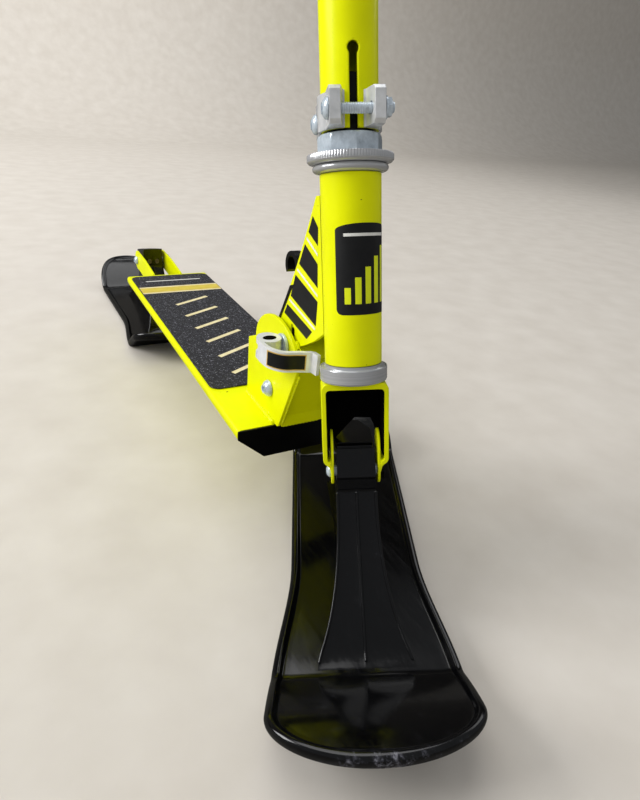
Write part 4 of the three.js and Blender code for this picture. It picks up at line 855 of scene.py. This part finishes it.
def makeHeadset():
    # three turned profiles; the race's skirt stands round the lower cup, so that both show as one tall ring
    bore, low, top = headset["bore"], headTube["low"], headTop
    cup = [(bore + 0.5, top + 0.8), (17.8, top + 0.8), (17.8, top + 5.2)]
    cup += [tuple(p) for p in arcPoints((23.4 - 2.6, top + 2.9), (2.6, 2.3), 90, -62, 18)]
    cup += [(19.3, top + 0.3), (16.5, top + 0.3), (16.5, top - 8), (bore + 0.5, top - 8)]
    cup += [(bore + 0.5, top + 0.8)]
    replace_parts(turnedPiece("upper_cup_turned", cup, headSpace, lathed, "neck", 128), "upper_cup")
    cup = [(bore + 0.5, low - 3.4), (17.8, low - 3.4), (17.8, low - 6.45), (21.4, low - 6.45)]
    cup += [(21.5, low - 6.3), (21.5, low - 2.4), (21.2, low - 2.1), (19.4, low - 1.9), (19.2, low - 0.3)]
    cup += [(16.5, low - 0.3), (16.5, low + 8), (bore + 0.5, low + 8), (bore + 0.5, low - 3.4)]
    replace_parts(turnedPiece("lower_cup_turned", cup, headSpace, lathed, "neck", 128, 20), "lower_cup")
    crownTop, crownLow, skirt = -4.8, -10.2, low - 2.2
    race = [(bore, crownLow), (21.2, crownLow), (22.2, crownLow + 0.5), (22.6, crownLow + 1.4)]
    race += [(22.6, skirt - 0.5), (22.4, skirt), (21.8, skirt), (21.7, crownTop), (bore, crownTop)]
    race += [(bore, crownLow)]
    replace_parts(turnedPiece("crown_race_turned", race, steerSpace, lathed, "steering", 128, 20), "crown_race")


def makeAdjustingRace():
    # a ring whose radius dips once for each tooth between its plain edges
    ring = {"radius": 26.6, "teeth": 96, "depth": 0.34}
    bottom = headTop + headset["flange"] + headset["gap"]
    bore, radius, height = headset["bore"], ring["radius"], headset["race"]
    angle = fullTurn(ring["teeth"] * 6)
    tooth = 0.5 - 0.5 * np.cos(ring["teeth"] * angle)
    rows = [(bore, -0.25, 0), (radius - 3, -0.25, 0), (radius - 1, 0.5, 0), (radius - 0.6, 1.1, 0)]
    rows += [(radius - 0.1, 1.5, 0.4), (radius, 1.9, 1), (radius, height - 0.6, 1)]
    rows += [(radius - 0.5, height, 0.2), (bore, height, 0), (bore, 0, 0)]
    grid = ringGrid([(reach - ring["depth"] * share * tooth, bottom + z) for reach, z, share in rows], angle)
    name = "adjusting_race_knurled"
    piece = gridPiece(name, grid, steerSpace, lathed, "steering", wrap=True, sharpAngle=50)
    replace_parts(piece, "adjusting_race")


def makeLockNut():
    # an eight-sided prism whose upper corners are turned away
    nut = {"width": 36.9, "height": 10.6, "sides": 8, "turn": 18 - 11.25}
    bottom = headTop + headset["flange"] + headset["gap"] + headset["race"] + headset["gap"]
    bore, height = headset["bore"], nut["height"]
    angle = fullTurn(nut["sides"] * 24)
    flat = flatsAt(angle, nut["width"], nut["sides"])
    corner = flat.max()
    rows = [(bore, 0), (corner, 0), (corner, height - 2.6), (corner - 0.5, height - 1.1)]
    rows += [(corner - 1.5, height - 0.2), (corner - 2.2, height), (bore, height), (bore, 0)]
    turned = angle + math.radians(nut["turn"])
    grid = ringGrid([(np.minimum(flat, radius), bottom + z) for radius, z in rows], turned)
    piece = gridPiece("lock_nut_forged", grid, steerSpace, zinc, "steering", wrap=True, sharpAngle=30)
    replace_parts(piece, "lock_nut")


makeHeadset()
makeAdjustingRace()
makeLockNut()
steererProfile = [(11.7, -10.2), (14.3, -10.2), (14.3, 171.4), (13.7, 172), (11.7, 172), (11.7, -10.2)]
steererPiece = turnedPiece("steerer_drawn", steererProfile, steerSpace, darkSteel, "steering")
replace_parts(steererPiece, "steerer_tube")
print("headset made")

# Fork: the yoke is one folded strip with rounded corners; its inside is painted shade, matt black sheets along
# the strip and across its rear
fork = {
    "outer": 22.4, "sheet": 3, "top": -10.5, "crown": 4.4, "foot": -63.6, "corner": 5, "front": 12.5,
    "rear": 12, "footInner": 17.3, "fold": 2.5, "paintedShadeFoot": -62, "sill": -37, "earInner": 15.1,
    "earSheet": 1.9,
}


def forkPlate(name, outline, start, thickness, material, bevel):
    # outline in (x, z) of the steered space
    return plate(name, outline, start, thickness, "xz", steerSpace, material, "steering", bevel)


def makeFork():
    # half the strip's section is mirrored; the ears are two arcs joined at their waist
    front, rear, sheet, corner, foot = (fork[key] for key in ("front", "rear", "sheet", "corner", "foot"))
    footInner, fold, inner = fork["footInner"], fork["fold"], fork["outer"] - sheet
    depth, roof = fork["outer"] - footInner, fork["top"] - fork["crown"]
    half = np.vstack([
        arcPoints((fork["outer"] - corner, fork["top"] - corner), (corner,) * 2, 90, 0, 12),
        arcPoints((footInner, foot), (depth, depth), 0, -90, 12),
        [(footInner, foot - depth + sheet)],
        arcPoints((footInner, foot), (depth - sheet,) * 2, -90, 0, 8)[1:],
        arcPoints((inner - fold, roof - fold), (fold,) * 2, 0, 90, 8),
    ])
    outline = np.vstack([half, (half * (-1, 1))[::-1]])
    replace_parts(forkPlate("fork_yoke_folded", outline, -front, front + rear, paint, 0.7), "fork_yoke")

    def arch(inset):
        # the inside of the strip, drawn in by the inset
        edge, low = inner - inset, fork["paintedShadeFoot"]
        return np.array([(-edge, low), (-edge, roof - inset), (edge, roof - inset), (edge, low)])

    # painted shade: a matt black sheet just inside the strip, and one across its rear whose lower edge follows
    # the pylon's roof
    arches = np.vstack([arch(0.3), arch(0.9)[::-1]])
    forkPlate("fork_painted_shade", arches, -front + 0.8, front + rear - 1.6, paintedShade, 0.1)
    top, edge, sill = roof - 0.2, inner - 0.2, fork["sill"]
    wall = [(-edge, -66), (-14, -57), (-1, sill - 6), (1.1, sill - 4), (12.1, sill - 4.5), (14.5, -46)]
    wall += [(17, -56), (edge, -66), (edge, top), (-edge, top)]
    forkPlate("fork_rear_painted_shade", wall, rear - 1.4, 1, paintedShade, 0.1)
    for word, side in sides:
        outline = np.vstack([
            arcPoints((0, axle["frontLevel"]), (11, 9), 180, 360, 24), [(11, -67.5)],
            arcPoints((0, -61), (11, 15), 0, 180, 30), [(-11, -67.5)],
        ])
        start = fork["earInner"] if side > 0 else -17
        place = (outline, start, fork["earSheet"])
        ear = plate(f"fork_ear_plate_{word}", *place, "yz", steerSpace, paint, "steering", 0.5)
        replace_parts(ear, f"fork_ear_{word}")
        fillet = [(16.2, -65), (21.4, -66), (20.2, -68.3), (18.2, -70.6), (17.2, -74.5), (16.2, -75)]
        forkPlate(f"fork_ear_fillet_{word}", np.array(fillet) * (side, 1), -10.8, 3, paint, 0.4)


makeFork()
print("fork made")

# Lower bar tube with its keyhole slot: columns run round from one lip of the slot to the other
bar = {"radius": 17.2, "wall": 2.2, "bottom": 142.6, "top": 440, "slot": 2.5, "hole": 3.5, "holeAt": 183.4}


def makeBar():
    # at each height the columns leave out the slot's or the hole's half width
    radius, centre = bar["radius"], bar["holeAt"]
    heights = np.unique(np.concatenate([
        np.linspace(bar["bottom"], 178, 12),
        centre + bar["hole"] * np.sin(np.linspace(-np.pi / 2, np.pi / 2, 25)),
        np.linspace(188, bar["top"], 30),
    ]))
    fromHole = heights - centre
    hole = np.sqrt(np.clip(bar["hole"] ** 2 - fromHole**2, 0, None))
    half = np.where(fromHole < 0, np.maximum(hole, bar["slot"]), hole)
    gap = np.arcsin(half / radius)[:, None]
    angle = -np.pi / 2 + gap + np.linspace(0, 1, 121)[None] * (2 * np.pi - 2 * gap)
    grid = np.stack([radius * np.cos(angle), radius * np.sin(angle), heights[:, None] + 0 * angle], -1)
    piece = gridPiece("lower_bar_drawn", grid, clampSpace, paint, "steering")
    addWall(piece, bar["wall"])
    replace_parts(piece, "lower_bar_tube")


makeBar()

# Stem clamp and its fasteners
clampBolt = {
    "front": -25, "rear": 22.4, "height": 142.4 + 9.8 - 1.2, "radius": 3.1, "head": (6, 3.6),
    "nut": (9.4, 3), "pitch": 1.35,
}


def threadedRod(name, radius, pitch, start, end, centre, space, body):
    # rod along x whose radius follows a triangular thread
    along = np.arange(start, end, pitch / 6)
    angle = fullTurn(36)
    phase = (along[:, None] / pitch - angle[None] / (2 * np.pi)) % 1
    reach = radius - 0.55 * pitch * np.abs(phase - 0.5)
    grid = np.stack([along[:, None] + 0 * reach, reach * np.cos(angle), reach * np.sin(angle)], -1)
    return gridPiece(name, grid + np.array(centre), space, zinc, body, wrap=True, caps=True, sharpAngle=70)


def makeClamp():
    # two bolts across the lugs, the front one with its thread in sight
    softened("stem_clamp", cast, "steering", 0.7)
    softened("clamp_washer", zinc, "steering", 0.2)
    radius, pitch, where = clampBolt["radius"], clampBolt["pitch"], (clampSpace, "steering")
    front, rear = (clampBolt["front"], clampBolt["height"]), (clampBolt["rear"], clampBolt["height"])
    sizes = (*clampBolt["head"], radius)
    domedBolt("clamp_screw_front", "clamp_bolt_front", (-16.1, *front), *sizes, 6, *where)
    threadedRod("clamp_thread", radius, pitch, -12, 21.4, (0, *front), *where)
    hexNut("clamp_hexagon_front", "clamp_nut_front", (16.8, *front), *clampBolt["nut"], 3.0, *where)
    domedBolt("clamp_screw_rear", "clamp_bolt_rear", (-17.9, *rear), *sizes, 38, *where)
    hexNut("clamp_hexagon_rear", "clamp_nut_rear", (17.9, *rear), *clampBolt["nut"], 3.4, *where)


makeClamp()
print("bar and clamp made")

# Upper T-bar, height clamp, grips
upper = {
    "radius": 13.6, "bottom": 330, "cross": 655, "crossRadius": 11.1, "wall": 1.8, "half": 178, "grip": 112,
}


def aroundCrossbar(profile, side):
    # profile of (radius, distance along the bar) round the crossbar's axis
    grid = ringGrid([(radius, side * distance) for radius, distance in profile], fullTurn(72), roundX)
    return grid + (0, 0, upper["cross"])


def makeGrips():
    # ribs repeat every 4.4 mm on a body that swells a little at both ends
    half, tube = upper["half"], upper["crossRadius"]
    start, end, edge = half - upper["grip"] + 3, half + 3, half + 0.3
    along = np.linspace(start + 6, end - 4, 220)
    ridges = 0.5 * (0.5 + 0.5 * np.tanh(5 * np.cos(2 * np.pi * along / 4.4)))
    belly = tube + 3.7 + 0.8 * np.cos(np.linspace(0, 2 * np.pi, 220))
    profile = [(tube + 0.3, start), (tube + 7.2, start), (tube + 8, start + 0.9), (tube + 8, start + 3.8)]
    profile += [(tube + 7, start + 5), (tube + 4.6, start + 5.6), *zip(belly - 0.5 + ridges, along)]
    profile += [(tube + 4.4, end - 1), (tube + 3.4, end), (tube + 0.3, end), (tube + 0.3, start)]
    fit = tube - 2.1
    cap = [(0, half - 12), (fit, half - 12), (fit, edge), (tube, edge)]
    cap += [tuple(p) for p in arcPoints((0, edge + 1), (tube, 4.7), 4, 90, 14)]
    for word, side in sides:
        grid = aroundCrossbar(profile, side)
        name = f"grip_{word}_ribbed"
        grip = gridPiece(name, grid, steerSpace, rubber, "upper_bar", wrap=True, sharpAngle=50)
        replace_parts(grip, f"grip_{word}")
        grid = aroundCrossbar(cap, side)
        piece = gridPiece(f"bar_cap_{word}", grid, steerSpace, moulding, "upper_bar", wrap=True)
        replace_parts(piece, f"end_cap_{word}")


def makeUpperBar():
    # the upright ends in a saddle on the crossbar, and the weld follows where the two tubes meet
    r, wall, half, tube, cross = (upper[key] for key in ("radius", "wall", "half", "crossRadius", "cross"))
    angle = fullTurn(96)[None]
    across = r * np.sin(angle)
    saddle = cross - np.sqrt(np.clip((tube + 0.2) ** 2 - across**2, 0, None))
    saddle = np.where(np.abs(across) > tube, cross, saddle)
    height = upper["bottom"] + np.linspace(0, 1, 20)[:, None] * (saddle - upper["bottom"])
    grid = np.stack([r * np.cos(angle) + 0 * height, across + 0 * height, height], -1)
    piece = gridPiece("upper_bar_drawn", grid, steerSpace, paint, "upper_bar", wrap=True)
    addWall(piece, wall)
    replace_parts(piece, "upper_bar_tube")
    profile = [(tube - wall, -half), (tube, -half), (tube, half), (tube - wall, half), (tube - wall, -half)]
    grid = aroundCrossbar(profile, 1)
    crossPiece = gridPiece("crossbar_drawn", grid, steerSpace, paint, "upper_bar", wrap=True)
    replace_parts(crossPiece, "crossbar")
    theta = np.linspace(0, 2 * np.pi, 60)
    y = np.clip(r * np.sin(theta), -tube, tube)
    bead = np.column_stack([r * np.cos(theta), y, cross - np.sqrt(np.clip(tube**2 - y**2, 0, None))])
    weldBead("crossbar_weld", bead, 1.7, steerSpace, "upper_bar")


makeUpperBar()
makeGrips()
softened("height_collar", cast, "steering", 0.8)
softened("height_lever", cast, "height_lever_body", 0.6)
softened("height_skewer", zinc, "steering", 0.3)
softened("height_nut", zinc, "steering", 0.3)
softened("bar_sleeve", nylon, "steering", 0.2)
print("T-bar made")

# Skis
ski = {
    "ahead": 171, "behind": 217, "tailHalf": 50.5, "waist": 49.5, "tipHalf": 61,
    "flareFrom": 5, "flareTo": 112, "tipRound": 33, "tailRound": 60,
    "tipRise": 33, "tailRise": 36, "tipBend": 98, "tailBend": 150,
    "floor": 5.6, "trayLift": 2.9, "rim": 11, "rimWidth": 8,
    "headHalf": 13.2, "headTop": 13.5, "headFront": 15, "headWideBack": 27, "headBack": 41.5,
    "headTailHalf": 6.5, "rampFront": 103, "rampBack": 112, "rampHalf": 35, "rampRearHalf": 20,
    "rampShare": 0.82, "rampSlope": 1.35, "rampFlare": 2.9, "ridge": 2.4,
}


def skiHalfAt(ahead):
    # even flare between waist and tip, times a round end
    t = np.clip((ahead - ski["flareFrom"]) / (ski["flareTo"] - ski["flareFrom"]), 0, 1)
    flare = (ski["tipHalf"] - ski["waist"]) * t * t * (3 - 2 * t)
    tail = (ski["tailHalf"] - ski["waist"]) * np.clip(-ahead / ski["tailBend"], 0, 1)
    end = np.where(ahead > 0, ski["ahead"], -ski["behind"])
    length = np.where(ahead > 0, ski["tipRound"], ski["tailRound"])
    inEnd = np.clip(1 - np.abs(end - ahead) / length, 0, 1)
    return (ski["waist"] + flare + tail) * np.sqrt(1 - inEnd**2)


def skiRiseAt(ahead):
    # a quarter of a sine from each bend to its end, with the kink eased over a few millimetres
    def eased(distance, length):
        distance = np.sqrt(np.clip(distance, 0, None) ** 2 + 9) - 3
        return np.sin(np.clip(distance / length, 0, 1) * np.pi / 2)

    tip = ski["tipRise"] * eased(ahead - ski["tipBend"], ski["ahead"] - ski["tipBend"])
    return tip + ski["tailRise"] * eased(-ahead - ski["tailBend"], ski["behind"] - ski["tailBend"])


def trayGrid():
    # the outline drawn inwards by the section's distances; each point's height is the section's plus the rise
    even = np.linspace(0, 1, 240)
    spread = (even + 3 * (1 - np.cos(even * np.pi)) / 2) / 4
    ahead = -ski["behind"] + (ski["ahead"] + ski["behind"]) * spread
    half = skiHalfAt(ahead)
    outline = np.vstack([np.column_stack([half, ahead]), np.column_stack([-half, ahead])[-2:0:-1]])
    w, rim, low = ski["rimWidth"], ski["rim"], ski["floor"] + ski["trayLift"]
    dish = [(1.3 * w, low), (0.92 * w, low + (rim - low) * 0.1), (0.74 * w, low + (rim - low) * 0.6)]
    dish += [(0.55 * w, rim), (0.26 * w, 0.96 * rim), (0.05 * w, 0.8 * rim), (0, 0.55 * rim)]
    edge = smoothPath(dish + [(0.1 * w, 0.25 * rim), (0.4 * w, 0.03 * rim), (0.8 * w, 0)], 46)
    top = np.column_stack([np.linspace(60, 1.5 * w, 14), np.full(14, low)])
    bottom = np.column_stack([np.linspace(1.6 * w, 60, 12), np.zeros(12)])
    section = np.vstack([[(400, low)], top, edge, bottom, [(400, 0)]])
    spine = np.clip(outline[:, 1], -ski["behind"] + ski["tailRound"], ski["ahead"] - ski["tipRound"])
    reach = np.maximum(np.hypot(outline[:, 0], outline[:, 1] - spine), 0.3)
    share = np.clip(1 - section[:, :1] / reach, 0, 1)
    place = spine + (outline[:, 1] - spine) * share
    level = section[:, 1:] + skiRiseAt(place) - stance["axleHeight"]
    return np.stack([outline[:, 0] * share, -place, level], -1)


def pylonGrid(roof):
    # level rings from the spread feet up to the head; the face has two hollows between three fine ridges
    axleHeight, headHalf, headFront = stance["axleHeight"], ski["headHalf"], ski["headFront"]
    low, high = ski["floor"] / 2, axleHeight + ski["headTop"]
    rows = []
    q = np.linspace(-1, 1, 81)

    def spread(head, ramp, share):
        # from the head's size to the ramp's
        return head + (ramp - head) * share

    for t in np.linspace(0, 1, 120):
        opened = max(0.0, 1 - t / ski["rampShare"])
        slope, flare = opened ** ski["rampSlope"], opened ** ski["rampFlare"]
        front = spread(headFront, ski["rampFront"], slope)
        back = spread(ski["headBack"], ski["rampBack"], slope)
        half = spread(headHalf, ski["rampHalf"], flare)
        rearHalf = spread(ski["headTailHalf"], ski["rampRearHalf"], flare)
        height = low + (high - low) * t
        above = max(0.0, (height - ski["floor"] - ski["trayLift"]) / 5)
        front -= 3.5 * above * math.exp(1 - above)
        fade = min(1.0, 3 * opened) * min(1.0, above / 1.6)
        hollow = 1.5 * fade * 4 * np.abs(q) * (1 - np.abs(q))
        middle, edge = np.exp(-((q * half / 0.8) ** 2)), np.exp(-(((1 - np.abs(q)) * half / 0.8) ** 2))
        face = np.column_stack([q * half, front - hollow + fade * (0.9 * middle + 0.7 * edge)])
        tuck = front * (1 - headHalf / (2 * half))
        turn = (half - 0.25 * (half - headHalf), front - 0.45 * (front - tuck))
        wall = np.array([(half, front - 0.4), turn, (headHalf, tuck)])
        straight = np.column_stack([np.full(6, headHalf), np.linspace(tuck, -ski["headWideBack"], 7)[1:]])
        rear = [(rearHalf, -back + ski["ridge"]), (rearHalf * 0.8, -back + 0.5), (rearHalf * 0.4, -back)]
        right = np.vstack([wall, straight, rear])
        ring = np.vstack([face, right, (right * (-1, 1))[::-1]])
        level = np.full(len(ring), height - axleHeight)
        if height > axleHeight:
            # above the axle the face leans back and the roof runs straight from its front to its rear height
            rise = (height - axleHeight) / ski["headTop"]
            ring[:, 1] = np.minimum(ring[:, 1], headFront + ski["ridge"] - roof["lean"] * rise**1.2)
            share = (ring[:, 1] + ski["headBack"]) / (ski["headBack"] + headFront)
            level = rise * (ski["headTop"] + roof["back"] + (roof["front"] - roof["back"]) * share)
        rows.append(np.column_stack([ring[:, 0], -ring[:, 1], level]))
    return np.array(rows)


def makeSki(word, space, body, roof):
    # tray, pylon and the three ridges along the pylon's front columns
    tray = gridPiece(f"{word}_ski_tray", trayGrid(), space, plastic, body, wrap=True, sharpAngle=50)
    shape = pylonGrid(roof)
    pylon = gridPiece(f"{word}_ski_pylon", shape, space, plastic, body, wrap=True, caps=True, sharpAngle=28)
    for place, column in (("left", 0), ("middle", 40), ("right", 80)):
        line = shape[8:100:4, column] + (0, 0, -0.2)
        weldBead(f"{word}_ski_ridge_{place}", line, 1.05, space, body, plastic, 0)
    for piece in (tray, pylon):
        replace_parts(piece, f"{word}_ski")


makeSki("front", frontSkiSpace, "front_ski_body", {"front": 6, "back": 3, "lean": 17})
makeSki("rear", rearSkiSpace, "rear_ski_body", {"front": 6, "back": -7, "lean": 2})
step = [(-0.8, 18.4), (0.2, 19.9), (3.4, 20.3), (4.6, 18.4)]
plate("front_ski_step", step, -12.6, 25.2, "yz", frontSkiSpace, plastic, "front_ski_body", 0.35)
for word, y, z in (("low", -0.6, 18.9), ("high", 4.2, 19.9)):
    line = [(-12.7, y, z), (0, y, z), (12.7, y, z)]
    weldBead(f"front_ski_brow_{word}", line, 0.55, frontSkiSpace, "front_ski_body", plastic, 0)
for word, side in sides:
    pocket = arcPoints((side * 5.4, 1.5), (2.9, 3.6), 0, 350, 24)
    plate(f"rear_pocket_{word}", pocket, -15.6, 0.5, "xz", rearSkiSpace, rustFilm, "rear_ski_body", 0.1)
print("skis made")

# Small parts that keep their CAD shape
keptParts = {
    nylon: "hinge_thrust_washer_left hinge_thrust_washer_right neck_pivot_bush front_ski_bush rear_ski_bush",
    zinc: "upper_bearing lower_bearing",
}
for material, names in keptParts.items():
    for nodeName in names.split():
        nodes[nodeName].data.materials.clear()
        nodes[nodeName].data.materials.append(material)

# Studio: pale floor that curves up into a backdrop, and five soft lamps
studio = {
    "floor": "#CDC6BC", "paler": "#D8D2C9", "mirrored": "#55524D", "reach": 6.0, "width": 20.0, "curve": 1.2,
    "world": "#E8EBEF", "worldStrength": 0.3, "glossStrength": 0.24,
}


def makeStudio():
    # flat floor, a quarter circle and a wall; mirrored in gloss it is darker, so that plastic stays black
    material, tree, shader, place = newMaterial("paleStudioFloor", Roughness=0.75)
    tone = addRamp(tree, noiseAt(tree, place, 60, 5), [(0.3, studio["floor"]), (0.8, studio["paler"])])
    glossy = addNode(tree, "ShaderNodeLightPath").outputs["Is Glossy Ray"]
    addMix(tree, shader, glossy, tone, studio["mirrored"])
    reach, curve = studio["reach"], studio["curve"]
    turn = np.linspace(0, np.pi / 2, 30)[1:]
    y = np.concatenate([
        np.linspace(-reach, reach / 2, 20), reach / 2 + np.sin(turn) * curve, np.full(10, reach / 2 + curve)
    ])
    z = np.concatenate([np.zeros(20), curve - np.cos(turn) * curve, np.linspace(1.3, reach, 10)])
    x = np.linspace(-studio["width"], studio["width"], 9)
    grid = np.stack([np.repeat(x[None], len(y), 0), *(np.repeat(v[:, None], 9, 1) for v in (y, z))], -1)
    data = bpy.data.meshes.new("studioFloor")
    data.from_pydata(grid.reshape(-1, 3), [], gridFaces(len(y), 9, False))
    data.polygons.foreach_set("use_smooth", np.ones(len(data.polygons), bool))
    data.materials.append(material)
    sweep = bpy.data.objects.new("studioFloor", data)
    bpy.context.scene.collection.objects.link(sweep)


def addLamp(name, place, size, watts, target=(0, -0.4, 0.2), mirrored=True):
    # a rectangle that faces its target; unmirrored, it leaves no glare in gloss
    data = bpy.data.lights.new(name, "AREA")
    data.shape = "RECTANGLE"
    data.size, data.size_y = size
    data.energy = watts
    lamp = bpy.data.objects.new(name, data)
    away = unit(np.array(place) - np.array(target))
    side = unit(np.cross((0, 0, 1), away))
    lamp.matrix_world = placed(np.column_stack([side, np.cross(away, side), away]), np.array(place))
    lamp.visible_camera = False
    lamp.visible_glossy = mirrored
    bpy.context.scene.collection.objects.link(lamp)


def addLights():
    # the sky stands left, weak fill on the right, and the world is dimmer in mirrored rays
    addLamp("skyLeft", (-2.9, 0.8, 1.9), (2.0, 1.8), 108)
    addLamp("skyRight", (2.4, 0.4, 1.9), (1.6, 1.6), 10)
    addLamp("overhead", (-0.4, 0.3, 3.2), (3, 2), 44)
    addLamp("wallWash", (0, 2.4, 2.8), (4, 1), 60, target=(0, 4.2, 1.0))
    addLamp("nearFront", (-1.6, -2.4, 1.7), (1.2, 1.2), 14, mirrored=False)
    world = bpy.data.worlds.new("studioAir")
    world.use_nodes = True
    tree = world.node_tree
    background = tree.nodes["Background"]
    background.inputs["Color"].default_value = linear(studio["world"])
    glossy = addNode(tree, "ShaderNodeLightPath").outputs["Is Glossy Ray"]
    strength = addRange(tree, glossy, 0, 1, studio["worldStrength"], studio["glossStrength"])
    tree.links.new(strength, background.inputs["Strength"])
    bpy.context.scene.world = world


makeStudio()
addLights()
print("studio made")
